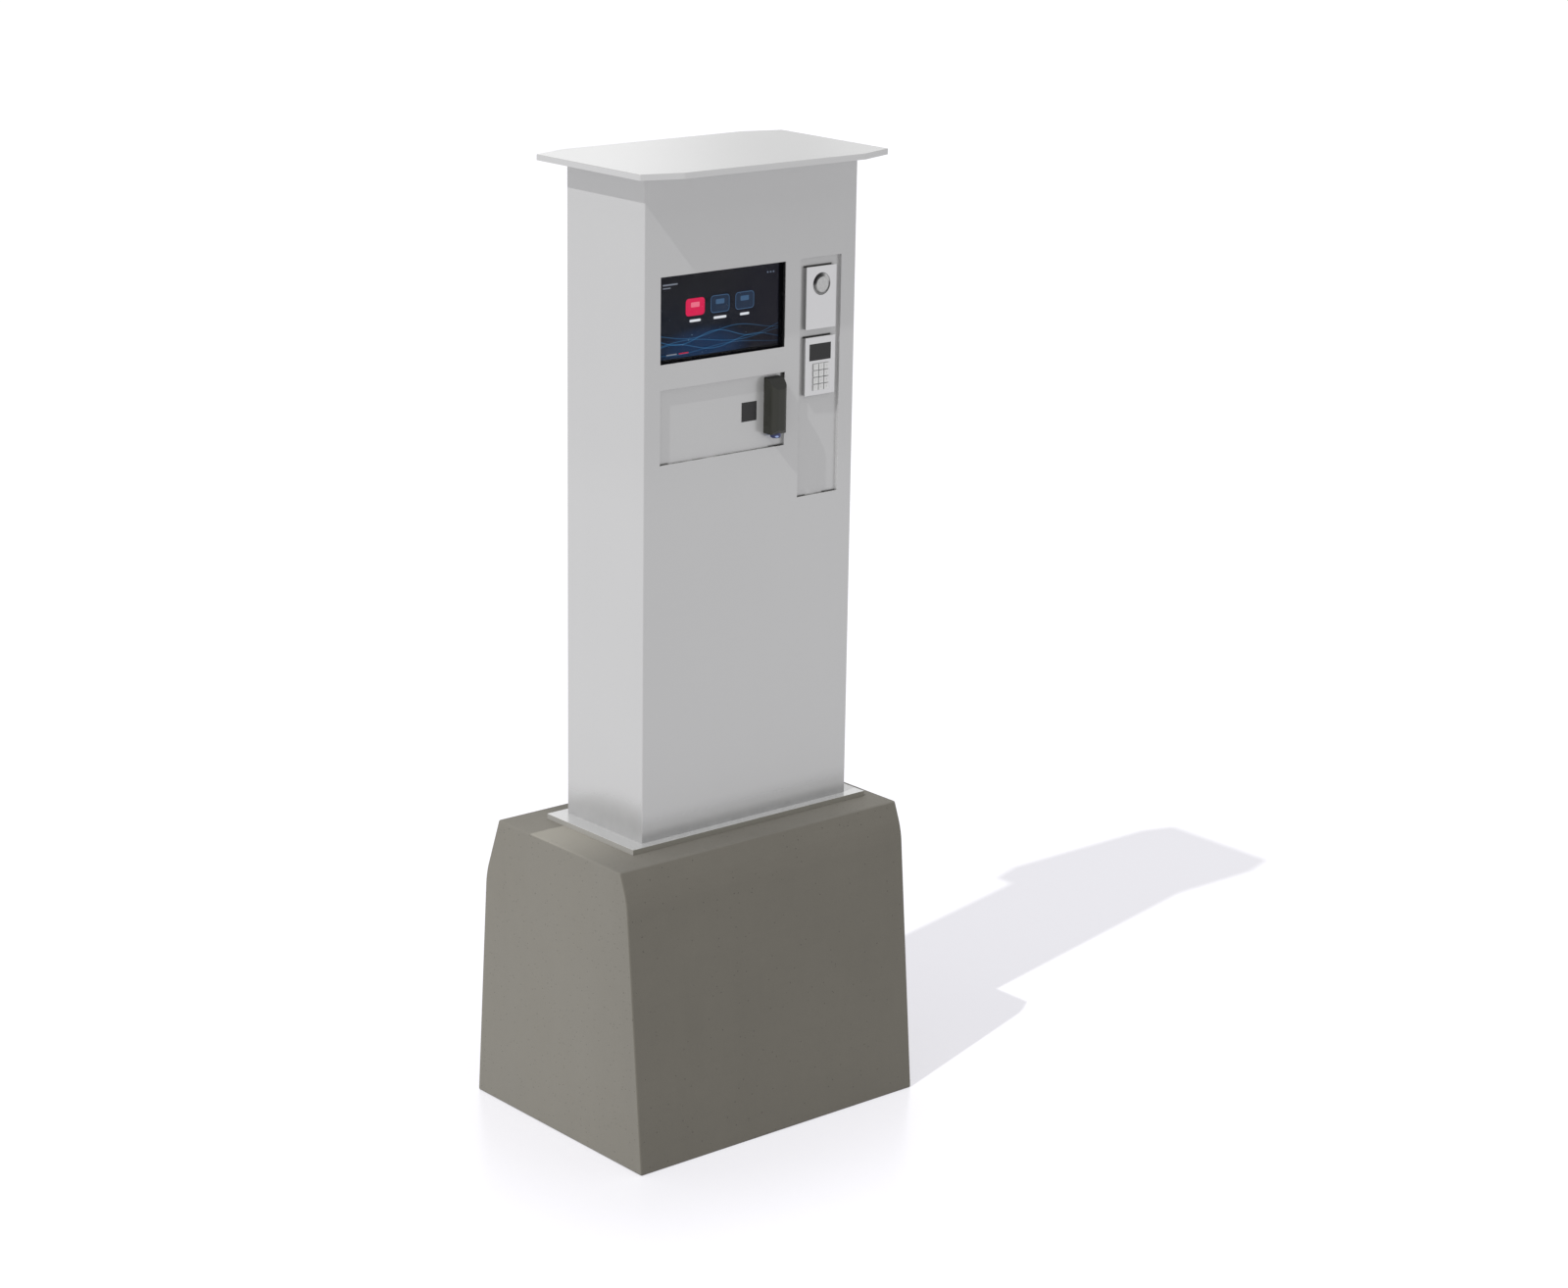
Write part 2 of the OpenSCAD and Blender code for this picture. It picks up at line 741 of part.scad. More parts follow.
// Cam that turns behind the sealing lip, hanging down in the open position
module lock_cam() {
    color([0.72, 0.72, 0.7]) cab() difference() {
        union() {
            box([lock_x - 8, lip_y - 3.8, lock_z - 36], [lock_x + 8, lip_y - 0.8, lock_z]);
            rod_y(8, lip_y - 3.8, lip_y - 0.8, [lock_x, lock_z]);
        }
        rod_y(5, lip_y - 5, lip_y, [lock_x, lock_z]);
    }
}

// Plate for the electrical equipment, behind the lower front
module mounting_plate() {
    color([0.7, 0.71, 0.72]) cab() difference() {
        box([-210, plate_y, 60], [210, plate_y + sheet, 540]);
        for (at = plate_stud_pos) rod_y(3.2, plate_y - 1, plate_y + sheet + 1, at);
        for (at = case_screw_pos) rod_y(2, plate_y - 1, plate_y + sheet + 1, at);
    }
}

// Fanless industrial computer with cooling fins and mounting ears
module computer_case() {
    back = plate_y + sheet;
    color([0.14, 0.14, 0.15]) cab() difference() {
        union() {
            box([-30, back, 296], [190, back + 44, 504]);
            box([-15, back, 276], [175, back + sheet, 524]);
            for (i = [0 : 15]) box([-30 + i * 14.4, back + 43, 296], [-26 + i * 14.4, back + 62, 504]);
        }
        for (at = case_screw_pos) rod_y(2.2, back - 1, back + sheet + 1, at);
        for (i = [0 : 3]) box([-10 + i * 40, back + 12, 294], [16 + i * 40, back + 26, 304]);
    }
}

// Top-hat rail for the power supply
module din_rail() {
    color([0.72, 0.73, 0.74]) cab() translate([0, plate_y + sheet, 170]) along_x(-180, 180, [
        [0, -12.5], [0, 12.5], [6.5, 12.5], [6.5, 17.5], [7.5, 17.5], [7.5, 11.5],
        [1, 11.5], [1, -11.5], [7.5, -11.5], [7.5, -17.5], [6.5, -17.5], [6.5, -12.5]
    ]);
}

// Power supply with cooling slots and a terminal step
module power_supply() {
    front = plate_y + sheet + 7.5;
    color([0.6, 0.61, 0.62]) cab() difference() {
        box([-150, front, 108], [-60, front + 105, 232]);
        box([-151, front + 85, 107], [-59, front + 106, 128]);
        for (i = [0 : 5]) box([-144 + i * 14, front + 12, 222], [-138 + i * 14, front + 80, 233]);
    }
}

plinth();
duct_sleeve();
anchor_studs();
anchor_nuts();
base_flange();
cable_gland();
front_panel();
left_wall();
right_wall();
rear_frame();
cabinet_top();
roof_plate();
panel_studs();
panel_nuts();
panel_screws();
display_gasket();
display_glass();
display_panel();
display_frame();
reader_recess();
card_reader_window();
card_reader_module();
code_reader_housing();
code_reader_ring();
code_reader_lens();
code_reader_engine();
intercom_recess();
intercom_housing();
intercom_faceplate();
button_collar();
call_button();
intercom_speaker();
keypad_housing();
keypad_faceplate();
keypad_window();
keypad_board();
key_1();
key_2();
key_3();
key_4();
key_5();
key_6();
key_7();
key_8();
key_9();
key_star();
key_0();
key_hash();
rear_door();
door_gasket();
hinge_pintles();
hinge_gudgeons();
lock_housing();
lock_core();
lock_cam();
mounting_plate();
computer_case();
din_rail();
power_supply();
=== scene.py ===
from math import radians, tau

import bmesh
import bpy
from mathutils import Matrix, Vector


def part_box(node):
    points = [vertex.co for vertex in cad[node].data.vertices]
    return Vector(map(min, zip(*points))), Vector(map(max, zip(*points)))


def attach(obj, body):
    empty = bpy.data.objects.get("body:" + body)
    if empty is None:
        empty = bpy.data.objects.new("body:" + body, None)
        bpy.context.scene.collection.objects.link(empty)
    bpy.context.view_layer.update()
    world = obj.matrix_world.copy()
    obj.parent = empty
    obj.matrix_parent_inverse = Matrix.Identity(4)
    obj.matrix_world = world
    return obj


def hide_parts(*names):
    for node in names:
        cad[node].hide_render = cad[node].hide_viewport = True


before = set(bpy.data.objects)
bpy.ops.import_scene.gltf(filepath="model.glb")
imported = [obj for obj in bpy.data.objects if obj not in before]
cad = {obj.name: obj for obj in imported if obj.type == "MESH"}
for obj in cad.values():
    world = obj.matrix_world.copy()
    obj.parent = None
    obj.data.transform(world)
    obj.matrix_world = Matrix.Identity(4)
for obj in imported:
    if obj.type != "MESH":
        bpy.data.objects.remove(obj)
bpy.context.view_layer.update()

# Lengths are metres in the CAD frame: +Z up, the front towards -Y, the origin amid the plinth's underside.
mm = 0.001
NEAR = 0.01 * mm  # places closer than this count as one
ALONG = 0.9  # a direction with a larger share of an axis counts as along that axis
CABINET = Vector((0.024, 0.0005, 0.5885))  # middle of the cabinet's foot, on top of the flange
RECESS_LAP, SEAL_LAP = 11 * mm, 12 * mm  # how far a recess and the display's seal reach past their openings
KEYS = ("1", "2", "3", "4", "5", "6", "7", "8", "9", "star", "0", "hash")

# Powder coat: colours, and the share of metal in them
PAINT = (0.618, 0.618, 0.618)
# The same coat painted darker, as shade inside the recesses
RECESS_SHADED_PAINT = (0.600, 0.600, 0.600)
# The same coat painted lighter, as a painted reflection on the roof and flange
LIT_PAINT = (0.70, 0.70, 0.70)
SILVER = 0.18

# Light and camera; angles are degrees
SKY = 0.565
SUN = 1.48
SUN_TRAVEL = (0.6456, 0.150, -0.749)
SUN_WIDTH = 0.6
FLOOR_GLOW = (0.433, 0.426, 0.468, 1)
FLOOR_SHEEN = 0.125
FLOOR_SIZE = 60
CAMERA_PLACE = (-4.0405, -4.9721, 2.7532)
CAMERA_TURN = (73.961, -0.898, -40.273)
CAMERA_LENS, CAMERA_SENSOR = 80.674, 36

# Sockets of a Mix node that blends colours
MIX_SHARE, MIX_FIRST, MIX_SECOND, MIX_RESULT = 0, 6, 7, 2


# Selecting and shaping

def nothing_selected():
    """Goes to object mode and deselects everything."""
    if bpy.context.mode != "OBJECT":
        bpy.ops.object.mode_set(mode="OBJECT")
    bpy.ops.object.select_all(action="DESELECT")


def only(piece):
    """Makes one piece the selected and active one, in object mode."""
    nothing_selected()
    piece.select_set(True)
    bpy.context.view_layer.objects.active = piece


def named(name):
    """Names the primitive that was just added and puts its place into its mesh."""
    piece = bpy.context.object
    piece.name = piece.data.name = name
    bpy.ops.object.transform_apply(location=True, rotation=True, scale=True)
    return piece


def block(name, low, high):
    """Box between two corners."""
    nothing_selected()
    low, high = Vector(low), Vector(high)
    bpy.ops.mesh.primitive_cube_add(size=1, location=(low + high) / 2)
    bpy.context.object.scale = high - low
    return named(name)


def rod(name, radius, low, high, axis, sides=64):
    """Round bar whose middle line runs from low to high along Y or Z."""
    nothing_selected()
    low, high = Vector(low), Vector(high)
    turn = {"Y": (radians(90), 0, 0), "Z": (0, 0, 0)}[axis]
    bpy.ops.mesh.primitive_cylinder_add(
        vertices=sides, radius=radius, depth=(high - low).length, location=(low + high) / 2, rotation=turn
    )
    return named(name)


def disc(name, radius, middle, front, back):
    """Finely divided round bar along Y."""
    return rod(name, radius, (middle[0], front, middle[2]), (middle[0], back, middle[2]), "Y", 96)


def edit(piece):
    only(piece)
    bpy.ops.object.mode_set(mode="EDIT")
    bpy.ops.mesh.select_all(action="DESELECT")


def done():
    bpy.ops.object.mode_set(mode="OBJECT")


def pick_faces(piece, test):
    """Selects the faces for which test(middle, normal) holds."""
    bpy.ops.mesh.select_mode(type="FACE")
    bpy.ops.mesh.select_all(action="DESELECT")
    work = bmesh.from_edit_mesh(piece.data)
    work.normal_update()
    for face in work.faces:
        if test(face.calc_center_median(), face.normal):
            face.select_set(True)
    bmesh.update_edit_mesh(piece.data)


def pick_edges(piece, test):
    """Selects the edges for which test(middle, direction) holds."""
    bpy.ops.mesh.select_mode(type="EDGE")
    bpy.ops.mesh.select_all(action="DESELECT")
    work = bmesh.from_edit_mesh(piece.data)
    for edge in work.edges:
        a, b = (corner.co for corner in edge.verts)
        if test((a + b) / 2, (b - a).normalized()):
            edge.select_set(True)
    bmesh.update_edit_mesh(piece.data)


def saw(place, normal, keep_all=True):
    """Cuts everything along a plane, and drops the side the normal points to unless all is kept."""
    bpy.ops.mesh.select_all(action="SELECT")
    bpy.ops.mesh.bisect(plane_co=place, plane_no=normal, use_fill=not keep_all, clear_outer=not keep_all)


def bevel(width, segments):
    """Rounds the selected edges."""
    bpy.ops.mesh.bevel(offset=width, segments=segments, affect="EDGES")


def inset(width, rise=0):
    """Draws the selected faces in by a width and lifts them by a rise."""
    bpy.ops.mesh.inset(thickness=width, depth=rise)


def push(distance):
    """Extrudes the selected faces along Y."""
    bpy.ops.mesh.extrude_region_move(TRANSFORM_OT_translate={"value": (0, distance, 0)})


def applied(piece, kind, **settings):
    """Adds a modifier and applies it."""
    only(piece)
    modifier = piece.modifiers.new(kind.lower(), kind)
    for key, value in settings.items():
        setattr(modifier, key, value)
    bpy.ops.object.modifier_apply(modifier=modifier.name)
    return piece


def thickened(piece, thickness):
    """Gives a bare surface the thickness of a sheet, inwards."""
    return applied(piece, "SOLIDIFY", thickness=thickness, offset=-1, use_even_offset=True)


def smooth(piece):
    """Smooth shading over rounded edges while the flat faces stay flat."""
    only(piece)
    bpy.ops.object.shade_smooth_by_angle(angle=radians(45))
    return applied(piece, "WEIGHTED_NORMAL", keep_sharp=True, weight=80)


def rounded(piece, width, segments=2, angle=30):
    """Rounds every edge that is sharper than the angle."""
    applied(
        piece, "BEVEL", width=width, segments=segments, limit_method="ANGLE", angle_limit=radians(angle)
    )
    return smooth(piece)


def merged(first, *others):
    """Joins pieces into the first one."""
    only(first)
    for other in others:
        other.select_set(True)
    bpy.ops.object.join()
    return first


def traced(node, name):
    """Copy of a CAD node's mesh with its triangles merged back into flat faces."""
    nothing_selected()
    piece = bpy.data.objects.new(name, cad[node].data.copy())
    bpy.context.scene.collection.objects.link(piece)
    piece.data.name = name
    piece.data.materials.clear()
    only(piece)
    bpy.ops.mesh.customdata_custom_splitnormals_clear()
    edit(piece)
    bpy.ops.mesh.select_all(action="SELECT")
    bpy.ops.mesh.remove_doubles(threshold=NEAR / 2)
    bpy.ops.mesh.dissolve_limited(angle_limit=radians(0.6))
    done()
    return piece


def fitted(piece, body, material, slot, *nodes):
    """Gives a piece its finish and its body, and hides the CAD nodes it stands for."""
    piece.data.materials.clear()
    piece.data.materials.append(material)
    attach(piece, body)
    if nodes:
        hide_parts(*nodes)


def edged(node, name, width, material, slot, body="terminal", segments=2):
    """A CAD piece with its edges rounded by a width in mm."""
    piece = rounded(traced(node, name), width * mm, segments)
    fitted(piece, body, material, slot, node)


def opening(node, lap):
    """Left, right, bottom and top of a front opening; the node behind it reaches past it by the lap."""
    low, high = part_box(node)
    return low[0] + lap, high[0] - lap, low[2] + lap, high[2] - lap


# Node maths

class Flow:
    """A socket of a node tree that can be used in sums."""

    def __init__(self, tree, socket=None):
        self.tree, self.socket = tree, socket

    def node(self, kind, settings=None, inputs=None, output=0):
        """Adds a node with its settings and inputs, and gives one of its outputs."""
        made = self.tree.nodes.new(kind)
        for key, value in (settings or {}).items():
            setattr(made, key, value)
        for key, value in (inputs or {}).items():
            if isinstance(value, Flow):
                self.tree.links.new(value.socket, made.inputs[key])
            else:
                made.inputs[key].default_value = value
        return Flow(self.tree, made.outputs[output])

    def sum(self, operation, first, second=0.0):
        return self.node("ShaderNodeMath", {"operation": operation}, {0: first, 1: second})

    def __add__(self, other):
        return self.sum("ADD", self, other)

    def __sub__(self, other):
        return self.sum("SUBTRACT", self, other)

    def __rsub__(self, other):
        return self.sum("SUBTRACT", other, self)

    def __mul__(self, other):
        return self.sum("MULTIPLY", self, other)

    def __truediv__(self, other):
        return self.sum("DIVIDE", self, other)

    def __pow__(self, other):
        return self.sum("POWER", self, other)

    def __abs__(self):
        return self.sum("ABSOLUTE", self)

    __radd__, __rmul__ = __add__, __mul__

    def most(self, other):
        return self.sum("MAXIMUM", self, other)

    def least(self, other):
        return self.sum("MINIMUM", self, other)

    def sine(self):
        return self.sum("SINE", self)

    def ease(self, start, end, low=0.0, high=1.0):
        """Runs smoothly from low to high while the value goes from start to end."""
        return self.node(
            "ShaderNodeMapRange", {"interpolation_type": "SMOOTHSTEP"},
            {"Value": self, "From Min": start, "From Max": end, "To Min": low, "To Max": high},
        )

    def axes(self):
        """The x, y and z of a vector, or the red, green and blue of a colour."""
        return [self.node("ShaderNodeSeparateXYZ", None, {0: self}, axis) for axis in range(3)]

    def noise(self, scale, detail=2.0, rough=0.5):
        inputs = {"Vector": self, "Scale": scale, "Detail": detail, "Roughness": rough}
        return self.node("ShaderNodeTexNoise", None, inputs)

    def cells(self, scale, output="Distance"):
        """Distance from the middle of a cell, or the cell's own Color."""
        return self.node("ShaderNodeTexVoronoi", None, {"Vector": self, "Scale": scale}, output)

    def stretched(self, x, y, z):
        return self.node("ShaderNodeVectorMath", {"operation": "MULTIPLY"}, {0: self, 1: (x, y, z)})

    def toned(self, colour):
        """A colour made lighter or darker by this value."""
        return self.node("ShaderNodeVectorMath", {"operation": "SCALE"}, {0: colour, "Scale": self})

    def between(self, first, second):
        """First colour where this value is 0, second where it is 1."""
        first, second = ((*c, 1) if isinstance(c, tuple) else c for c in (first, second))
        inputs = {MIX_SHARE: self, MIX_FIRST: first, MIX_SECOND: second}
        return self.node("ShaderNodeMix", {"data_type": "RGBA"}, inputs, MIX_RESULT)

    def bump(self, depth, strength=1.0):
        """Surface normal of a relief of this height, depth metres deep."""
        return self.node("ShaderNodeBump", None, {"Height": self, "Distance": depth, "Strength": strength})


def facing(place):
    """The x, y and z of the surface normal."""
    return place.node("ShaderNodeNewGeometry", None, None, "Normal").axes()


def edge_mask(place, width):
    """1 along sharp edges and 0 on flat faces."""
    soft = place.node("ShaderNodeBevel", {"samples": 6}, {"Radius": width})
    flat = place.node("ShaderNodeNewGeometry", None, None, "Normal")
    return 1 - place.node("ShaderNodeVectorMath", {"operation": "DOT_PRODUCT"}, {0: soft, 1: flat}, "Value")


def millimetres(place, middle_x, middle_z):
    """Millimetres to the right of a point of the front and above it."""
    x, _, z = place.axes()
    return (x - middle_x) / mm, (z - middle_z) / mm


def finish(name, recipe, **fixed):
    """Material whose recipe takes the place on the object and gives the shader's varying inputs."""
    made = bpy.data.materials.new(name)
    made.use_nodes = True
    tree = made.node_tree
    shader = tree.nodes["Principled BSDF"]
    place = Flow(tree).node("ShaderNodeTexCoord", None, None, "Object")
    for socket, value in {**fixed, **recipe(place)}.items():
        key = socket.replace("_", " ")
        if isinstance(value, Flow):
            tree.links.new(value.socket, shader.inputs[key])
        elif isinstance(value, tuple):
            shader.inputs[key].default_value = (*value, 1)
        else:
            shader.inputs[key].default_value = value
    return made


# Finishes: places and depths in metres, unless a recipe says mm

def powder_coat(colour, rough=0.22):
    """Silvery powder coat: a fine orange-peel skin and a slow drift of tone."""
    def recipe(place):
        drift = place.noise(2.6, 3) - 0.5
        rain = place.stretched(14, 14, 0.5).noise(1.0, 3) - 0.5
        speck = place.noise(1900, 1) - 0.5
        peel = place.noise(520, 2) + place.noise(1500, 1) * 0.4
        return {
            "Base Color": (1 + drift * 0.03 + rain * 0.015 + speck * 0.04).toned(colour),
            "Roughness": rough + drift * 0.06 + speck * 0.04,
            "Normal": peel.bump(0.00002, 0.4),
        }
    return recipe


def wall_coat(place):
    """The cabinet's coat, with painted light and shade: a darker upper front, lighter lower sides, lighter
    eaves and painted shade along its foot.
    """
    recipe = powder_coat(PAINT)(place)
    _, y, z = place.axes()
    height = z - CABINET[2]
    in_front = (0 - facing(place)[1]).ease(0.4, 0.9)
    patchy = 0.8 + place.noise(40, 3) * 0.4
    # Painted shade along the foot, on the front and on the sides, where the coat is also rougher
    front_foot_shade = height.ease(0.026, 0.006) * 0.33 + height.ease(0.060, 0.030) * 0.09
    painted_side_shade = (height + y.ease(-0.05, 0.11) * 0.022).ease(0.095, 0.015) * 0.31
    painted_shade = (in_front * front_foot_shade + (1 - in_front) * painted_side_shade) * patchy
    # Painted light and shade: the upper front darker, the lower sides lighter, and all faces lighter under
    # the eaves in the roof's shade
    upper = height.ease(0.60, 0.77)
    eaves_light = height.ease(1.17, 1.25) * 0.10
    painted_light_and_shade = 1 + eaves_light - in_front * upper * 0.030 + (1 - in_front) * (1 - upper) * 0.03
    recipe["Base Color"] = (painted_light_and_shade * (1 - painted_shade)).toned(recipe["Base Color"])
    recipe["Roughness"] = recipe["Roughness"] + painted_shade * 0.8
    return recipe


def roof_coat(place):
    """Powder coat with a painted reflection on its top, brightest towards one corner, and painted shade on
    its sides and folds.
    """
    recipe = powder_coat(LIT_PAINT, 0.3)(place)
    x, y, _ = place.axes()
    # Painted reflection across the top, brightest towards one corner
    across = x - y * 0.8
    painted_sheen = 0.795 + across.ease(0.20, -0.28) * 0.41 + across.ease(0.22, 0.40) * 0.116
    level = facing(place)[2]
    # Painted shade on the folds and on the sides
    fold_shade = level.ease(0.1, 0.5) * 0.14
    side_faces = level.ease(0.98, 0.85)
    recipe["Base Color"] = (side_faces * (0.93 - fold_shade) + (1 - side_faces) * painted_sheen).toned(recipe["Base Color"])
    return recipe


def flange_coat(place):
    """Bright metallic top, a left side painted darker as shade, and a front edge painted dark olive as a
    reflection of the concrete before it.
    """
    recipe = powder_coat(LIT_PAINT, 0.25)(place)
    x, y, z = facing(place)
    # Painted shade on the left side, and a painted reflection of the concrete on the front edge
    painted_side_shade = (0 - x).ease(0.4, 0.9)
    painted_front_reflection = (0 - y).ease(0.5, 0.9)
    recipe["Base Color"] = painted_side_shade.between(recipe["Base Color"], (0.475, 0.466, 0.440))
    recipe["Base Color"] = painted_front_reflection.between(recipe["Base Color"], (0.282, 0.270, 0.236))
    recipe["Metallic"] = z.ease(0.4, 0.9) * 0.35 + 0.1
    recipe["Roughness"] = recipe["Roughness"] + painted_front_reflection * 0.3
    return recipe


def recess_coat(place):
    """The same powder coat, painted darker, with painted shade on the ledge, in the corners and around the
    plates of a recess.
    """
    recipe = powder_coat(RECESS_SHADED_PAINT)(place)
    x, _, z = place.axes()
    patch = place.stretched(1, 1, 0.2).noise(26, 3, 0.6)
    # Painted shade on upward faces such as the ledge
    shade_paint = facing(place)[2].ease(0.5, 0.9) * patch.ease(0.30, 0.62, 0.25, 0.75)

    def smear(left, right, bottom, top, soft=2.5 * mm):
        """1 inside a patch of the recess and 0 outside it, with a soft edge."""
        across = x.ease(left - soft, left + soft) * x.ease(right + soft, right - soft)
        return across * z.ease(bottom - soft, bottom + soft) * z.ease(top + soft, top - soft)

    # Painted shade at both ends of each recess's ledge
    for node in ("reader_recess", "intercom_recess"):
        left, right, bottom, _ = opening(node, RECESS_LAP)
        shade_paint = shade_paint.most(smear(left, left + 24 * mm, bottom - 2 * mm, bottom + 1.5 * mm) * 0.9)
        shade_paint = shade_paint.most(smear(right - 34 * mm, right, bottom - 2 * mm, bottom + 2 * mm) * 0.9)
    # Painted shade at the top of the reader recess's right wall
    _, right, _, top = opening("reader_recess", RECESS_LAP)
    shade_paint = shade_paint.most(smear(right - 6 * mm, right + 2 * mm, top - 22 * mm, top + 2 * mm) * 0.85)
    # Painted shade above each plate and along its left edge
    for node in ("intercom_faceplate", "keypad_faceplate"):
        (left, _, bottom), (right, _, top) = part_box(node)
        above = smear(left - 2 * mm, right - 6 * mm, top - 2 * mm, top + 2.2 * mm, 1.2 * mm)
        beside = smear(left - 3.5 * mm, left + 2 * mm, bottom, top, 1.5 * mm)
        shade_paint = shade_paint.most(above * 0.95).most(beside * 0.22)
    recipe["Base Color"] = shade_paint.between(recipe["Base Color"], (0.018, 0.017, 0.015))
    recipe["Roughness"] = recipe["Roughness"] + shade_paint * 0.4
    return recipe


def cast_concrete(place):
    """Precast concrete: mottled, with sand grain, small air holes, paler rubbed edges and a damp foot, and
    painted shade on its front, shoulders, left end and top, with a painted light patch on the top.
    """
    x, y, z = place.axes()
    clouds = place.noise(4.5, 5, 0.62) - 0.5
    blots = place.noise(24, 4, 0.6) - 0.5
    sand = place.noise(620, 3, 0.7) - 0.5
    runs = place.stretched(22, 22, 1.3).noise(1.0, 4, 0.6) - 0.5
    pick = place.cells(95, "Color").axes()[0]
    holes = place.cells(95).ease(0.16, 0.10) * pick.ease(0.70, 0.72)
    fine_pick = place.cells(330, "Color").axes()[1]
    pin_holes = place.cells(330).ease(0.22, 0.12) * fine_pick.ease(0.62, 0.64)
    edges = edge_mask(place, 0.007).ease(0.02, 0.3) * (place.noise(55, 3) + 0.2).ease(0.45, 0.8)
    damp = z.ease(0.13, 0.0) * place.noise(9, 4, 0.6).ease(0.3, 0.75)
    # Masks by the way a face turns, for the painted shade and light below
    normal = facing(place)
    on_top = normal[2].ease(0.25, 0.8)
    in_front = normal[1].ease(-0.2, -0.9) * (1 - on_top)
    shoulder = normal[2].ease(0.12, 0.36) * (1 - on_top)
    left_face = normal[0].ease(-0.5, -0.9) * y.ease(-0.02, -0.24)
    # A painted light patch on the top's left end, with painted shade behind a line across it
    behind_light_patch = (y + (place.noise(30, 2) - 0.5) * 0.006).ease(0.080, 0.086)
    left_end = x.ease(-0.2, -0.25)
    top_light_patch = y.ease(-0.20, 0.08) * (1 - behind_light_patch) * left_end
    # Painted shade on the top: less towards the ends, on the light patch, behind it and at the right end
    top_shade_amount = 0.36 - abs(x) * 0.28 - top_light_patch * 0.60
    top_shade_amount = top_shade_amount - behind_light_patch * left_end * 0.156 - x.ease(0.18, 0.30) * 0.04
    tone = 1 + clouds * 0.10 + blots * 0.06 + sand * 0.12 + runs * 0.05 - holes * 0.22 - pin_holes * 0.12
    # Paler rubbed edges, a darker damp foot and painted shade on the front part of the left end
    tone = tone + edges * 0.06 - damp * 0.05 - left_face * 0.06
    # Painted shade on the front, the shoulders and the top
    tone = tone - in_front * 0.315 - shoulder * 0.035 - on_top * top_shade_amount
    relief = sand * 0.25 - holes * 1.0 - pin_holes * 0.45 + blots * 0.3
    tint = (clouds * 1.2 + 0.5).between((0.2845, 0.2680, 0.2325), (0.2747, 0.2624, 0.2339))
    # Front faces tinted browner along with their painted shade
    tint = in_front.between(tint, (0.2820, 0.2640, 0.2240))
    return {
        "Base Color": tone.toned(tint),
        "Roughness": 0.68 + blots * 0.12 - damp * 0.12,
        "Normal": relief.bump(0.0006, 0.55),
    }


def rubber(place):
    grain = place.noise(900, 2)
    bloom = place.noise(30, 3) - 0.5
    return {
        "Base Color": (1 + bloom * 0.5).toned((0.016, 0.016, 0.017)),
        "Roughness": 0.62 + bloom * 0.2,
        "Normal": grain.bump(0.00005, 0.4),
    }


def moulded(colour, rough, grain_depth=0.00004):
    """Moulded plastic with a fine eroded texture."""
    def recipe(place):
        grain = place.noise(1700, 2)
        cloud = place.noise(45, 3) - 0.5
        return {
            "Base Color": (1 + cloud * 0.10 + (grain - 0.5) * 0.14).toned(colour),
            "Roughness": rough + cloud * 0.10,
            "Normal": grain.bump(grain_depth, 0.5),
        }
    return recipe


def top_shaded_shell(colour, rough, shade_paint):
    """Moulded shell with painted shade on its upper side."""
    def recipe(place):
        made = moulded(colour, rough)(place)
        # Painted shade on the upper faces
        made["Base Color"] = facing(place)[2].ease(0.4, 0.9).between(made["Base Color"], shade_paint)
        return made
    return recipe


def key_cap(place):
    """Silvery key faces over sides painted darker as shade, most on the left and upper ones."""
    recipe = moulded((0.85, 0.85, 0.85), 0.38, 0.00002)(place)
    x, _, z = facing(place)
    plate_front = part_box("keypad_faceplate")[0][1]
    # Painted shade on the left and upper sides and in the gaps around the keys
    left_top_shade = (0 - x).ease(0.4, 0.9) * 0.9 + z.ease(0.4, 0.9) * 0.75
    gap_shade = place.axes()[1].ease(plate_front, plate_front + 0.6 * mm)
    recipe["Base Color"] = (left_top_shade + gap_shade * 0.3).least(1).between(recipe["Base Color"], (0.34, 0.34, 0.34))
    return recipe


def call_ring(place):
    """Pale plastic of the call button and its cup, with painted shade around the button's rim; in mm."""
    low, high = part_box("button_collar")
    x, z = millimetres(place, (low[0] + high[0]) / 2, (low[2] + high[2]) / 2)
    away = (x ** 2 + z ** 2) ** 0.5
    right, up = x / away, z / away
    upper_left, lower_right = up * 0.76 - right * 0.65, right * 0.9 - up * 0.43
    # Painted shade: a dark crescent at the upper left of the rim, and less at the lower right, below and to
    # the left
    painted_shade = upper_left.ease(0.15, 0.85).most(lower_right.ease(0.7, 0.95) * 0.8)
    painted_shade = painted_shade.most((0 - up).ease(0.2, 0.95) * 0.6).most((0 - right).ease(0.3, 0.95) * 0.6)
    off_middle = (abs(x - 2.0) ** 2 + abs(z + 1.6) ** 2) ** 0.5
    recipe = moulded((0.70, 0.70, 0.70), 0.36, 0.00003)(place)
    pale = (0.76 + place.noise(210, 3) * 0.48).toned(recipe["Base Color"])
    recipe["Base Color"] = (painted_shade * off_middle.ease(13.4, 15.2)).between(pale, (0.006, 0.006, 0.006))
    return recipe


def blasted_plate(place):
    """Fine blasted and anodised plate."""
    grit = place.noise(2600, 2)
    cloud = place.noise(32, 3) - 0.5
    return {
        "Base Color": (1 + cloud * 0.03 + (grit - 0.5) * 0.06).toned((0.550, 0.550, 0.548)),
        "Roughness": 0.42 + cloud * 0.08,
        "Normal": grit.bump(0.00002, 0.5),
    }


def zinc(place):
    cloud = place.noise(70, 4, 0.6) - 0.5
    scratch = place.stretched(900, 60, 60).noise(1.0, 2) - 0.5
    return {
        "Base Color": (0.5 + cloud * 1.6).between((0.40, 0.39, 0.36), (0.53, 0.55, 0.58)),
        "Roughness": 0.36 + cloud * 0.22 + scratch * 0.10,
        "Normal": scratch.bump(0.00002, 0.3),
    }


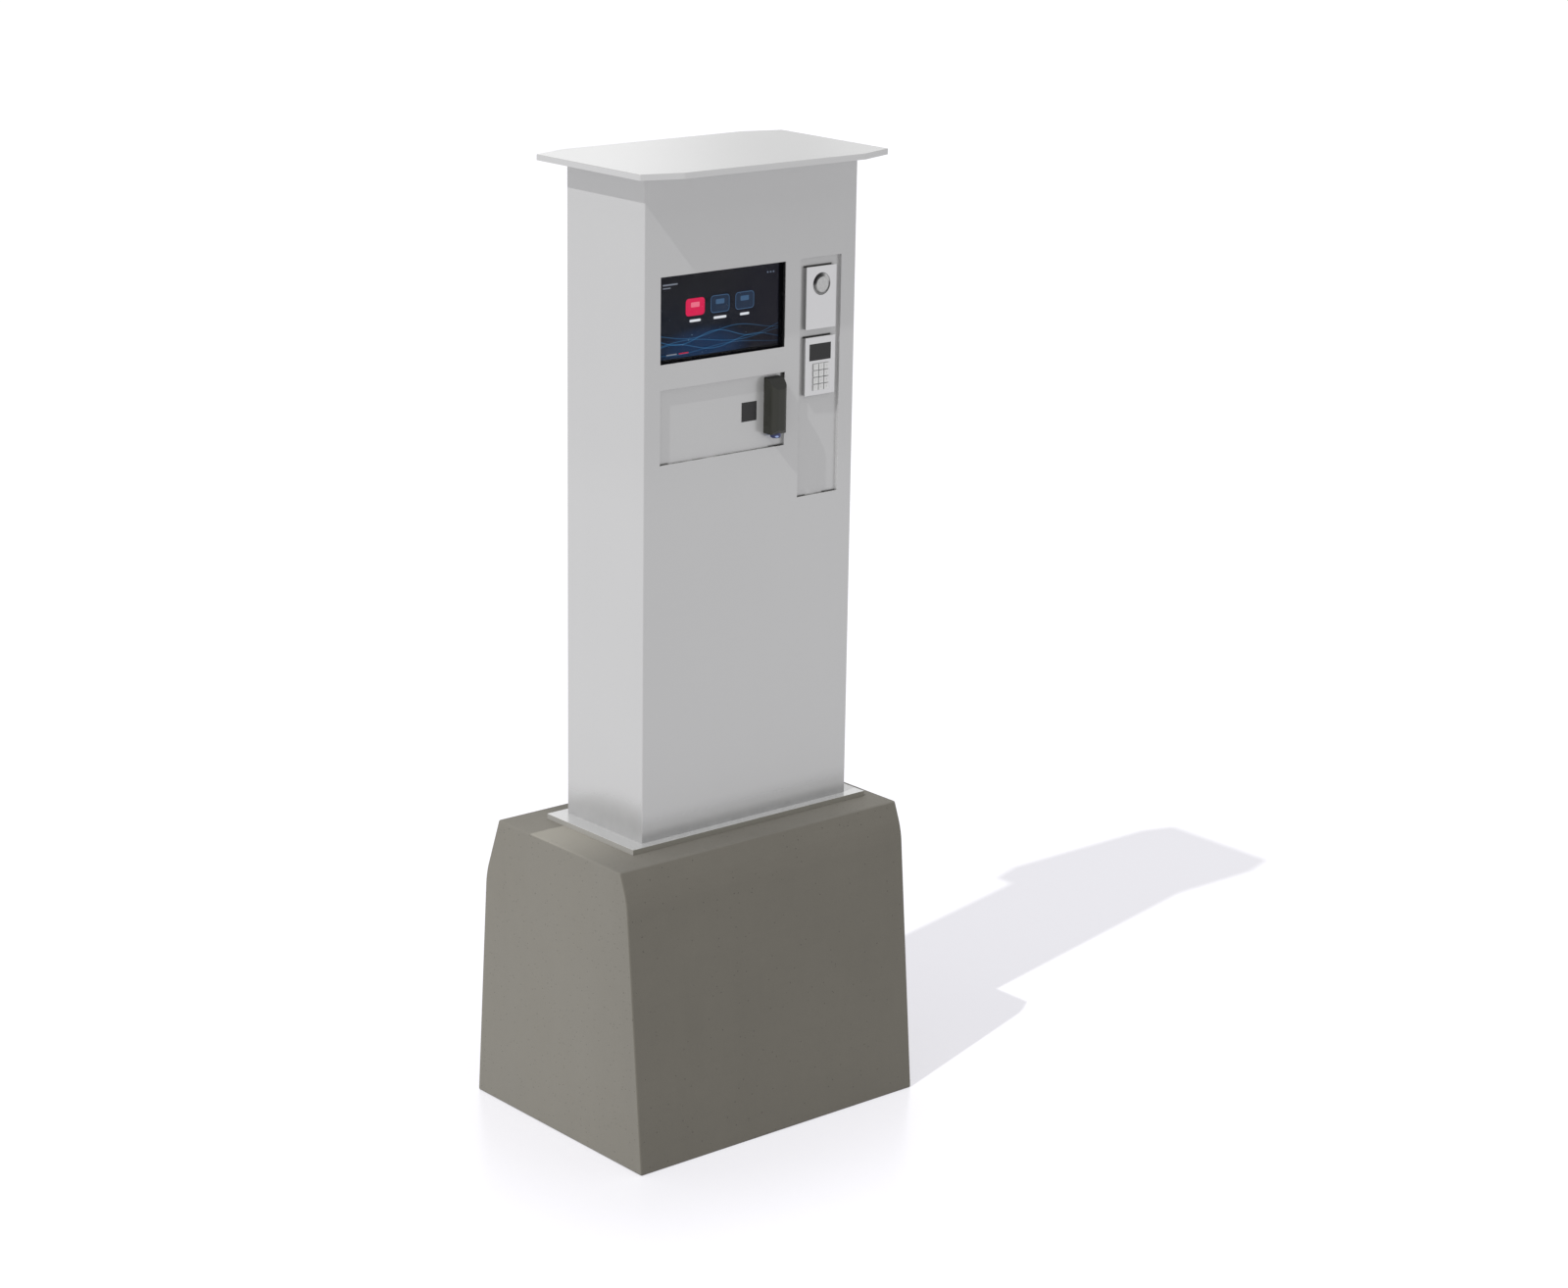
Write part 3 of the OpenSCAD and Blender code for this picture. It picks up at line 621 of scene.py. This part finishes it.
def galvanised(place):
    spangle = place.cells(75, "Color").axes()[0] - 0.5
    cloud = place.noise(14, 4) - 0.5
    return {
        "Base Color": (1 + spangle * 0.22 + cloud * 0.1).toned((0.56, 0.57, 0.58)),
        "Roughness": 0.40 + spangle * 0.18,
        "Normal": (spangle + cloud).bump(0.00003, 0.3),
    }


def black_anodised(place):
    grit = place.noise(1900, 2)
    cloud = place.noise(22, 3) - 0.5
    return {
        "Base Color": (1 + cloud * 0.2 + (grit - 0.5) * 0.3).toned((0.028, 0.028, 0.030)),
        "Roughness": 0.46 + cloud * 0.12,
        "Normal": grit.bump(0.00003, 0.5),
    }


def circuit_board(place):
    x, _, z = place.axes()
    tracks = (x * 900).sine() * (z * 1300).sine()
    cloud = place.noise(180, 2)
    lines = (tracks + cloud - 0.5).ease(0.28, 0.34)
    return {
        "Base Color": lines.between((0.012, 0.085, 0.035), (0.03, 0.16, 0.06)),
        "Roughness": 0.35 + cloud * 0.1,
        "Normal": lines.bump(0.00003, 0.6),
    }


def smoked_window(colour):
    """Smooth black window with faint wiping marks in its gloss."""
    def recipe(place):
        wipe = place.stretched(60, 60, 240).noise(1.0, 3) - 0.5
        cloud = place.noise(40, 2) - 0.5
        return {
            "Base Color": (1 + cloud * 0.06).toned(colour),
            "Roughness": 0.24 + wipe * 0.10 + cloud * 0.05,
        }
    return recipe


def lit_ring(place):
    """Navy translucent ring with a painted glint near the middle of its front; in mm."""
    low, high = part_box("code_reader_ring")
    x, z = millimetres(place, (low[0] + high[0]) / 2, low[2])
    # Painted glint, drawn in the ring's light
    painted_glint = (((x + 4.0) / 4.0) ** 2 + ((z - 3.5) / 2.4) ** 2).ease(1.0, 0.2)
    ripple = place.noise(420, 2)
    return {
        "Base Color": (0.6 + ripple * 0.6).toned((0.008, 0.010, 0.040)),
        "Emission Color": painted_glint.between((0.006, 0.010, 0.052), (0.26, 0.34, 0.58)),
        "Roughness": 0.12 + ripple * 0.1,
    }


def wiped(place):
    """Wiping marks of a cloth on glass."""
    return place.stretched(30, 30, 120).noise(1.0, 3)


def clear_glass(place):
    return {"Roughness": 0.01 + wiped(place) * 0.02}


def screen_picture(place):
    """Dark start screen: a row of rounded tiles over slow waves of blue light, lighter to the right with a
    painted reflection; in mm from its middle.
    """
    low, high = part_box("display_gasket")
    x, z = millimetres(place, (low[0] + high[0]) / 2, (low[2] + high[2]) / 2)

    def tile(middle_x, middle_z, width, height, corner):
        """Distance from the outline of a rounded tile, less than 0 inside."""
        across = abs(x - middle_x) - (width / 2 - corner)
        up = abs(z - middle_z) - (height / 2 - corner)
        outside = (across.most(0) ** 2 + up.most(0) ** 2) ** 0.5
        return outside + across.most(up).least(0) - corner

    def wave(middle_z, rise, length, phase, thin):
        """1 along a wavy line and 0 beside it."""
        line = abs(z - middle_z - (x * (tau / length) + phase).sine() * rise)
        return line.ease(thin, 0.0)

    def laid(shape, colour, soft=0.4):
        """The picture so far with a tile of one colour laid over it."""
        return shape.ease(soft, -soft).between(picture, colour)

    height = z.ease(80, -80)
    glow = (((x + 40) / 120) ** 2 + ((z + 62) / 46) ** 2).ease(1.0, 0.0)
    night = height.between((0.0078, 0.0077, 0.0103), (0.0036, 0.0070, 0.0150))
    # Lighter towards the right: a painted reflection on the glass
    night = x.ease(-20, 120).between(night, (0.0066, 0.0064, 0.0112))
    picture = (glow * 0.7).between(night, (0.006, 0.030, 0.090))
    waves = wave(-34, 7, 210, 0.4, 1.1) * 0.9 + wave(-41, 9, 170, 1.9, 1.3) + wave(-49, 6, 240, 3.6, 1.0)
    waves = waves + wave(-56, 8, 190, 5.2, 1.4) * 0.8 + wave(-63, 5, 260, 0.9, 1.2) * 0.6
    fade = x.ease(150, 20, 0.35, 1.0)
    picture = (waves * fade * 0.6).least(1).between(picture, (0.030, 0.150, 0.330))
    flat = place.stretched(1, 0, 1)
    spark = flat.cells(120).ease(0.13, 0.06) * flat.cells(120, "Color").axes()[2].ease(0.72, 0.9)
    picture = (spark * z.ease(30, -40) * 0.9).between(picture, (0.20, 0.34, 0.46))

    picture = laid(tile(-58, 16, 44, 32, 7), (0.66, 0.012, 0.075), 0.5)
    picture = laid(tile(-58, 20, 20, 9, 2), (0.80, 0.16, 0.24))
    for middle in (0, 58):
        plain = tile(middle, 16, 44, 32, 7)
        picture = laid(plain, (0.014, 0.026, 0.052), 0.5)
        picture = abs(plain + 0.6).ease(0.9, 0.1).between(picture, (0.05, 0.12, 0.24))
        picture = laid(tile(middle, 20, 20, 9, 2), (0.045, 0.10, 0.19))
    for middle, width in ((-58, 26), (0, 30), (58, 22)):
        picture = laid(tile(middle, -9, width, 4.6, 2.2), (0.72, 0.74, 0.78))
    for middle_x, middle_z, width, tall in ((-116, 62, 34, 2.6), (-124, 56, 18, 1.8), (-112, -66, 24, 2.2)):
        picture = laid(tile(middle_x, middle_z, width, tall, 0.8), (0.20, 0.22, 0.26))
    picture = laid(tile(-84, -66, 22, 2.2, 0.8), (0.45, 0.015, 0.05))
    for middle in (112, 119, 126):
        picture = laid(tile(middle, 62, 3, 3, 1.5), (0.16, 0.20, 0.28))
    lit_area = tile(-2.5, 1.5, 283, 150, 0.5).ease(0.5, -0.5)
    return {
        "Emission Color": lit_area.between((0.0015, 0.0015, 0.002), picture),
        "Roughness": 0.12 + wiped(place) * 0.06,
    }


paint = finish("silver_powder_coat", wall_coat, Metallic=SILVER)
roof_paint = finish("roof_powder_coat", roof_coat, Metallic=SILVER)
recess_paint = finish("recess_powder_coat", recess_coat, Metallic=SILVER)
flange_metal = finish("flange_coat", flange_coat)
concrete = finish("cast_concrete", cast_concrete, Specular_IOR_Level=0.25)
seal = finish("seal_rubber", rubber)
dark_shell = finish(
    "dark_shell_plastic", top_shaded_shell((0.0290, 0.0295, 0.0235), 0.48, (0.005, 0.005, 0.005)),
    Specular_IOR_Level=0.34,
)
# The modules' housings are mid grey, darker than their plates, standing in for shade on their sides
device_shell = finish("module_shell_plastic", top_shaded_shell((0.33, 0.33, 0.333), 0.5, (0.012, 0.012, 0.012)))
plain_shell = finish("dark_grey_plastic", moulded((0.10, 0.10, 0.102), 0.5))
call_plastic = finish("call_plastic", call_ring)
duct_plastic = finish("duct_plastic", moulded((0.20, 0.21, 0.22), 0.45))
key_plastic = finish("key_plastic", key_cap)
print_ink = finish("print_ink", moulded((0.56, 0.56, 0.565), 0.6, 0.00001))
plate_metal = finish("blasted_plate", blasted_plate, Metallic=1.0)
zinc_steel = finish("zinc_steel", zinc, Metallic=1.0)
galvanised_sheet = finish("galvanised_sheet", galvanised, Metallic=1.0)
bare_sheet = finish("bare_sheet", zinc, Metallic=1.0)
black_case = finish("black_anodised", black_anodised)
green_board = finish("circuit_board", circuit_board)
black_window = finish("smoked_window", smoked_window((0.022, 0.022, 0.022)), Specular_IOR_Level=0.3)
lcd_window = finish("small_display_window", smoked_window((0.020, 0.020, 0.020)), Specular_IOR_Level=0.3)
ring_glow = finish("lit_ring", lit_ring, Emission_Strength=1.0)
lens_glass = finish(
    "lens_glass", clear_glass, Base_Color=(0.75, 0.85, 1.0), Transmission_Weight=1.0, IOR=1.45,
)
# The cover glass hardly mirrors or bends light: the display's gloss is on the picture behind it.
cover_glass = finish(
    "cover_glass", clear_glass, Base_Color=(0.96, 0.97, 0.98), Transmission_Weight=1.0, IOR=1.01,
)
screen = finish(
    "screen_picture", screen_picture, Emission_Strength=1.0, Base_Color=(0.002, 0.002, 0.002),
    Specular_IOR_Level=0.11,
)


# Plinth

def plinth_block():
    """Block sawn to its battered faces and shoulders, with the duct bored through it."""
    low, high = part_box("plinth")
    front, back, top = low[1], high[1], high[2]
    front_bend, back_bend = (front + 46.5 * mm, 524 * mm), (back - 31.5 * mm, 461 * mm)
    front_top, back_top = (-191.5 * mm, top), (185 * mm, top)
    duct_radius, past_end = 35 * mm, 10 * mm
    bend_round, edge_round = 20 * mm, 3.5 * mm
    piece = block("concrete_block", low, high)
    edit(piece)
    for (y0, z0), (y1, z1) in (
        ((front, 0), front_bend), (front_bend, front_top), ((back, 0), back_bend), (back_bend, back_top),
    ):
        side = 1 if y0 > 0 else -1
        saw((0, y0, z0), (0, side * (z1 - z0), side * (y0 - y1)), keep_all=False)
    pick_edges(piece, lambda at, along: abs(along[0]) > ALONG and 400 * mm < at[2] < 540 * mm)
    bevel(bend_round, 6)
    done()
    duct = rod("duct_cutter", duct_radius, (0, 0, -past_end), (0, 0, top + past_end), "Z")
    applied(piece, "BOOLEAN", object=duct, operation="DIFFERENCE", solver="EXACT")
    bpy.data.objects.remove(duct)
    rounded(piece, edge_round, 3, 25)
    fitted(piece, "terminal", concrete, "concrete", "plinth")


# Cabinet and roof

def on_rim(at, cuts):
    """True for a point on the edge of one of the openings."""
    for left, right, bottom, top in cuts:
        beside = min(abs(at[0] - left), abs(at[0] - right)) < NEAR and bottom - NEAR < at[2] < top + NEAR
        across = min(abs(at[2] - bottom), abs(at[2] - top)) < NEAR and left - NEAR < at[0] < right + NEAR
        if beside or across:
            return True
    return False


def front_sheet():
    """Front sheet: a plane sawn along the edges of its openings, thickened, with bent outer corners."""
    low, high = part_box("front_panel")
    cuts = [opening("display_gasket", SEAL_LAP)]
    cuts += [opening(node, RECESS_LAP) for node in ("reader_recess", "intercom_recess")]
    bend_round, rim_round = 1.9 * mm, 0.45 * mm
    nothing_selected()
    middle = (low + high) / 2
    bpy.ops.mesh.primitive_plane_add(
        size=1, location=(middle[0], low[1], middle[2]), rotation=(radians(90), 0, 0)
    )
    bpy.context.object.scale = (high[0] - low[0], high[2] - low[2], 1)
    piece = named("front_sheet")
    edit(piece)
    for left, right, bottom, top in cuts:
        for x in (left, right):
            saw((x, 0, 0), (1, 0, 0))
        for z in (bottom, top):
            saw((0, 0, z), (0, 0, 1))
    pick_faces(piece, lambda at, normal: any(l < at[0] < r and b < at[2] < t for l, r, b, t in cuts))
    bpy.ops.mesh.delete(type="FACE")
    done()
    thickened(piece, high[1] - low[1])
    edit(piece)
    pick_edges(piece, lambda at, along: abs(along[2]) > ALONG and abs(at[1] - low[1]) < NEAR
               and min(abs(at[0] - low[0]), abs(at[0] - high[0])) < NEAR)
    bevel(bend_round, 5)
    pick_edges(piece, lambda at, along: abs(at[1] - low[1]) < NEAR and on_rim(at, cuts))
    bevel(rim_round, 2)
    done()
    smooth(piece)
    fitted(piece, "terminal", paint, "paint", "front_panel")


def side_sheet(node, name):
    """Side sheet with rounded rear edges; its front edge meets the bend of the front sheet."""
    low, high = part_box(node)
    rear_round = 0.7 * mm
    piece = block(name, low, high)
    edit(piece)
    pick_edges(piece, lambda at, along: abs(along[2]) > ALONG and at[1] > high[1] - NEAR)
    bevel(rear_round, 3)
    done()
    smooth(piece)
    fitted(piece, "terminal", paint, "paint", node)


def roof_tray():
    """Flat roof: a slab with sawn corners, opened below, rounded at its folds and thickened to a sheet."""
    low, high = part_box("roof_plate")
    middle, half, top = (low + high) / 2, (high - low) / 2, high[2]
    rim_low = top - 11 * mm
    front_end, side_end = 212 * mm, 152 * mm  # from the middle to where the long edges and the sides end
    corner_round, fold_round, sheet = 2.5 * mm, 1.6 * mm, 2 * mm
    piece = block("roof_tray", (low[0], low[1], rim_low), high)
    edit(piece)
    for sx in (-1, 1):
        for sy in (-1, 1):
            normal = Vector((sx * (half[1] - side_end), sy * (half[0] - front_end), 0)).normalized()
            saw((middle[0] + sx * half[0], middle[1] + sy * side_end, rim_low), normal, keep_all=False)
    pick_faces(piece, lambda at, normal: normal[2] < -ALONG)
    bpy.ops.mesh.delete(type="FACE")
    pick_edges(piece, lambda at, along: abs(along[2]) > ALONG)
    bevel(corner_round, 3)
    pick_edges(piece, lambda at, along: at[2] > top - NEAR)
    bevel(fold_round, 4)
    done()
    thickened(piece, sheet)
    smooth(piece)
    stud_places = [(CABINET[0] + x * mm, CABINET[1] + y * mm) for x in (-200, 200) for y in (-90, 60)]
    stud_radius, stud_round = 3 * mm, 0.5 * mm
    stud_low, stud_high = top - 20 * mm, top - sheet / 2
    studs = [
        rounded(rod("roof_stud", stud_radius, (*at, stud_low), (*at, stud_high), "Z", 24), stud_round)
        for at in stud_places
    ]
    merged(piece, *studs)
    fitted(piece, "terminal", roof_paint, "roof_paint", "roof_plate")


# Display

def display():
    """Cover glass, the lit picture behind it and the rubber frame around it."""
    low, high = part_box("display_glass")
    back, margin = high[1], 3 * mm
    pane_back, picture_front, picture_back = back - 0.7 * mm, back - 0.5 * mm, back - 0.1 * mm
    pane = rounded(block("display_pane", low, (high[0], pane_back, high[2])), 0.4 * mm)
    fitted(pane, "terminal", cover_glass, "display_glass", "display_glass")
    picture = block(
        "display_picture", (low[0] + margin, picture_front, low[2] + margin),
        (high[0] - margin, picture_back, high[2] - margin),
    )
    rounded(picture, 0.1 * mm)
    fitted(picture, "terminal", screen, "display_face")
    edged("display_gasket", "display_seal", 0.5, seal, "rubber")


# Recesses, readers, intercom and keypad

def code_reader_shell():
    """Upright housing with a rounded front, a sloping top and its lower front edge cut back."""
    low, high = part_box("code_reader_housing")
    front, middle, top = low[1], (low[0] + high[0]) / 2, high[2] - 3.6 * mm
    slope, slope_normal = (0, front + 7.1 * mm, high[2] - 16.6 * mm), (0, -8.7, 7.5)
    lower_cut, lower_normal = (0, front, low[2] + 8 * mm), (0, -8, -10.5)
    front_depth, flank = 8 * mm, 17.9 * mm
    front_round, top_round, edge_round = 4.6 * mm, 3.2 * mm, 1.6 * mm
    piece = traced("code_reader_housing", "code_reader_shell")
    edit(piece)
    pick_edges(piece, lambda at, along: abs(along[2]) > ALONG and at[1] < front + front_depth
               and (at[1] < front + NEAR or abs(at[0] - middle) > flank))
    bevel(front_round, 4)
    saw((0, 0, top), (0, 0, 1), keep_all=False)
    saw(slope, slope_normal, keep_all=False)
    saw(lower_cut, lower_normal, keep_all=False)
    pick_edges(piece, lambda at, along: at[2] > top - NEAR and at[1] < high[1] - NEAR)
    bevel(top_round, 4)
    done()
    rounded(piece, edge_round, 3)
    fitted(piece, "terminal", dark_shell, "dark_housing", "code_reader_housing")


def button_cup():
    """Cup behind the faceplate with a ring that comes forward into the plate's hole around the button."""
    low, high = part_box("button_collar")
    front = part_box("intercom_faceplate")[0][1] + 1.2 * mm
    cup_floor, back = low[1] + 2.4 * mm, low[1] + 2.6 * mm
    outer, inner, bore, edge_round = 20.85 * mm, 16.95 * mm, 6.4 * mm, 0.3 * mm
    ring = disc("cup_front", outer, (low + high) / 2, front, back)
    edit(ring)
    pick_faces(ring, lambda at, normal: normal[1] < -ALONG)
    inset(outer - inner)
    push(cup_floor - front)
    inset(inner - bore)
    bpy.ops.mesh.delete(type="FACE")
    pick_faces(ring, lambda at, normal: normal[1] > ALONG)
    inset(outer - bore)
    bpy.ops.mesh.delete(type="FACE")
    bpy.ops.mesh.select_mode(type="EDGE")
    bpy.ops.mesh.select_all(action="DESELECT")
    bpy.ops.mesh.select_non_manifold()
    bpy.ops.mesh.bridge_edge_loops()
    done()
    rounded(ring, edge_round)
    piece = merged(rounded(traced("button_collar", "button_cup"), edge_round), ring)
    fitted(piece, "terminal", call_plastic, "dark_housing", "button_collar")


def call_button():
    """Round button: a disc with a stem, a rounded rim and a slightly hollow face."""
    low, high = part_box("call_button")
    radius, stem_radius = (high[0] - low[0]) / 2, 6 * mm
    cap_back = low[1] + 2.4 * mm
    rim, step, step_depth, dish, dish_depth = 2.2 * mm, 0.7 * mm, 0.45 * mm, 6 * mm, 0.15 * mm
    piece = disc("call_button_cap", radius, (low + high) / 2, low[1], cap_back)
    edit(piece)
    pick_faces(piece, lambda at, normal: normal[1] > ALONG)
    inset(radius - stem_radius)
    push(high[1] - cap_back)
    pick_faces(piece, lambda at, normal: normal[1] < -ALONG)
    inset(rim)
    inset(step, -step_depth)
    inset(dish, -dish_depth)
    done()
    rounded(piece, 0.35 * mm, 3, 25)
    fitted(piece, "call_push", call_plastic, "button_grey", "call_button")


def key_caps():
    """One key with its flange and dished face, copied to the twelve places, each with a printed sign."""
    low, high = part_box("key_1")
    flange_front, cap_width = high[1] - 1.2 * mm, 11.5 * mm
    rim, slope, dish = 0.9 * mm, 1.8 * mm, 0.28 * mm
    print_depth = 0.29 * mm
    master = block("key_master", (low[0], flange_front, low[2]), high)
    edit(master)
    pick_faces(master, lambda at, normal: normal[1] < -ALONG)
    inset((high[0] - low[0] - cap_width) / 2)
    push(low[1] - flange_front)
    inset(rim)
    inset(slope, -dish)
    done()
    rounded(master, 0.3 * mm, 3, 25)
    for sign in KEYS:
        node, body = "key_" + sign, "key_" + sign + "_cap"
        key_low, key_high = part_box(node)
        cap = bpy.data.objects.new("keycap_" + sign, master.data.copy())
        bpy.context.scene.collection.objects.link(cap)
        cap.data.transform(Matrix.Translation(key_low - low))
        fitted(cap, body, key_plastic, "key_silver", node)
        key_print(sign, (key_low + key_high) / 2, key_low[1] + print_depth, body)
    bpy.data.objects.remove(master)


def key_print(sign, middle, face, body):
    """Printed digit or sign on a key, a thin layer of ink."""
    sign_height, half_ink, stands_out = 5.4 * mm, 0.05 * mm, 0.045 * mm
    nothing_selected()
    bpy.ops.object.text_add()
    ink = bpy.context.object
    ink.data.body = {"star": "*", "hash": "#"}.get(sign, sign)
    ink.data.size = sign_height
    ink.data.align_x, ink.data.align_y = "CENTER", "CENTER"
    ink.data.extrude = half_ink
    ink.data.resolution_u = 4
    bpy.ops.object.convert(target="MESH")
    ink = bpy.context.object
    points = [v.co for v in ink.data.vertices]
    centre = Vector([(min(p[i] for p in points) + max(p[i] for p in points)) / 2 for i in range(3)])
    ink.data.transform(Matrix.Translation(-centre))
    ink.data.transform(Matrix.Rotation(radians(90), 4, "X"))
    ink.data.transform(Matrix.Translation((middle[0], face - stands_out, middle[2])))
    ink.name = ink.data.name = "key_print_" + sign
    fitted(ink, body, print_ink, "module_grey")


def front_devices():
    edged("reader_recess", "reader_pan", 0.35, recess_paint, "paint")
    edged("intercom_recess", "intercom_pan", 0.35, recess_paint, "paint")
    edged("card_reader_window", "card_window", 0.25, black_window, "black_window")
    code_reader_shell()
    edged("code_reader_ring", "code_reader_glow", 0.5, ring_glow, "ring_light")
    edged("intercom_housing", "intercom_shell", 0.4, device_shell, "module_grey")
    edged("intercom_faceplate", "intercom_plate", 0.45, plate_metal, "silver_plate")
    button_cup()
    edged("keypad_housing", "keypad_shell", 0.4, device_shell, "module_grey")
    edged("keypad_faceplate", "keypad_plate", 0.35, plate_metal, "silver_plate")
    edged("keypad_window", "keypad_screen", 0.2, lcd_window, "black_window")
    call_button()
    key_caps()


# Rear door and what is behind it

def rear_side():
    edged("rear_door", "door_leaf", 0.8, paint, "paint", "service_door", 3)
    edged("door_gasket", "door_seal", 1.5, seal, "rubber", "service_door", 3)
    edged("hinge_gudgeons", "hinge_upper_halves", 0.5, zinc_steel, "zinc_steel", "service_door")
    edged("hinge_pintles", "hinge_lower_halves", 0.5, zinc_steel, "zinc_steel")
    edged("lock_housing", "lock_body", 0.6, zinc_steel, "zinc_steel", "service_door")
    edged("lock_core", "lock_barrel", 0.25, zinc_steel, "zinc_steel", "door_lock")
    edged("lock_cam", "lock_tongue", 0.4, zinc_steel, "zinc_steel", "door_lock")
    edged("rear_frame", "door_frame", 0.5, paint, "paint")
    edged("mounting_plate", "equipment_plate", 0.4, galvanised_sheet, "galvanised")
    edged("computer_case", "computer_block", 0.7, black_case, "black_case")
    edged("power_supply", "power_block", 0.8, bare_sheet, "psu_case")
    edged("cable_gland", "gland", 0.7, plain_shell, "module_grey")
    edged("anchor_nuts", "foot_nuts", 0.5, zinc_steel, "zinc_steel")
    edged("panel_nuts", "small_nuts", 0.35, zinc_steel, "zinc_steel")


def plain_nodes():
    """CAD nodes that keep their own shape."""
    for node, material in {
        "duct_sleeve": duct_plastic, "anchor_studs": zinc_steel, "cabinet_top": paint,
        "panel_studs": zinc_steel, "panel_screws": zinc_steel, "display_panel": plain_shell,
        "display_frame": galvanised_sheet, "card_reader_module": plain_shell,
        "code_reader_lens": lens_glass, "code_reader_engine": green_board,
        "intercom_speaker": plain_shell, "keypad_board": green_board, "din_rail": zinc_steel,
    }.items():
        cad[node].data.materials.clear()
        cad[node].data.materials.append(material)


# Studio

def seen(tree):
    """1 for rays that see a surface directly, in a mirror or through glass, and 0 for light that spreads."""
    path = tree.nodes.new("ShaderNodeLightPath")
    direct, mirrored, through = (
        Flow(tree, path.outputs[key]) for key in ("Is Camera Ray", "Is Glossy Ray", "Is Transmission Ray")
    )
    return direct.most(mirrored).most(through)


def floor_finish():
    """Pale floor that keeps the shadow, with a sheen that fades away from the plinth."""
    made = bpy.data.materials.new("floor")
    made.use_nodes = True
    tree = made.node_tree
    tree.nodes.clear()
    start = Flow(tree)
    pale = start.node("ShaderNodeAddShader", None, {
        0: start.node("ShaderNodeBsdfDiffuse", None, {"Color": (0.70, 0.70, 0.70, 1)}),
        1: start.node("ShaderNodeEmission", None, {"Color": FLOOR_GLOW, "Strength": 1.0}),
    })
    sheen = start.node("ShaderNodeBsdfGlossy", None, {"Color": (1, 1, 1, 1), "Roughness": 0.24})
    x, y, _ = start.node("ShaderNodeTexCoord", None, None, "Object").axes()
    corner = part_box("plinth")[1]
    away = ((abs(x) - corner[0]).most(0) ** 2 + (abs(y) - corner[1]).most(0) ** 2) ** 0.5
    gloss = away.ease(0.45, 0.05) * FLOOR_SHEEN
    shown = start.node("ShaderNodeMixShader", None, {0: gloss, 1: pale, 2: sheen})
    spread = start.node("ShaderNodeBsdfDiffuse", None, {"Color": (0.62, 0.62, 0.62, 1)})
    mixed = start.node("ShaderNodeMixShader", None, {0: seen(tree), 1: spread, 2: shown})
    surface = tree.nodes.new("ShaderNodeOutputMaterial").inputs["Surface"]
    tree.links.new(mixed.socket, surface)
    return made


def studio():
    """White sky, a sun and the floor."""
    world = bpy.data.worlds.new("studio")
    bpy.context.scene.world = world
    world.use_nodes = True
    sky = world.node_tree.nodes["Background"]
    sky.inputs["Color"].default_value = (1, 1, 1, 1)
    strength = SKY + seen(world.node_tree) * (1 - SKY)
    world.node_tree.links.new(strength.socket, sky.inputs["Strength"])

    nothing_selected()
    bpy.ops.object.light_add(type="SUN", location=(-3, -1, 4))
    sun = bpy.context.object
    sun.name = "sun"
    sun.data.energy, sun.data.angle = SUN, radians(SUN_WIDTH)
    sun.rotation_mode = "QUATERNION"
    sun.rotation_quaternion = Vector(SUN_TRAVEL).to_track_quat("-Z", "Y")

    nothing_selected()
    bpy.ops.mesh.primitive_plane_add(size=FLOOR_SIZE, location=(0, 0, 0))
    floor = named("floor")
    floor.data.materials.append(floor_finish())


def camera():
    """The photograph's camera."""
    nothing_selected()
    bpy.ops.object.camera_add()
    eye = bpy.context.object
    eye.name = "camera"
    eye.location = CAMERA_PLACE
    eye.rotation_euler = [radians(turn) for turn in CAMERA_TURN]
    eye.data.lens, eye.data.sensor_width, eye.data.sensor_fit = CAMERA_LENS, CAMERA_SENSOR, "HORIZONTAL"
    eye.data.clip_end = 100
    bpy.context.scene.camera = eye


bpy.context.scene.view_settings.view_transform = "Standard"
camera()
studio()
plinth_block()
edged("base_flange", "flange_plate", 1.0, flange_metal, "paint")
front_sheet()
side_sheet("left_wall", "left_sheet")
side_sheet("right_wall", "right_sheet")
roof_tray()
display()
front_devices()
rear_side()
plain_nodes()
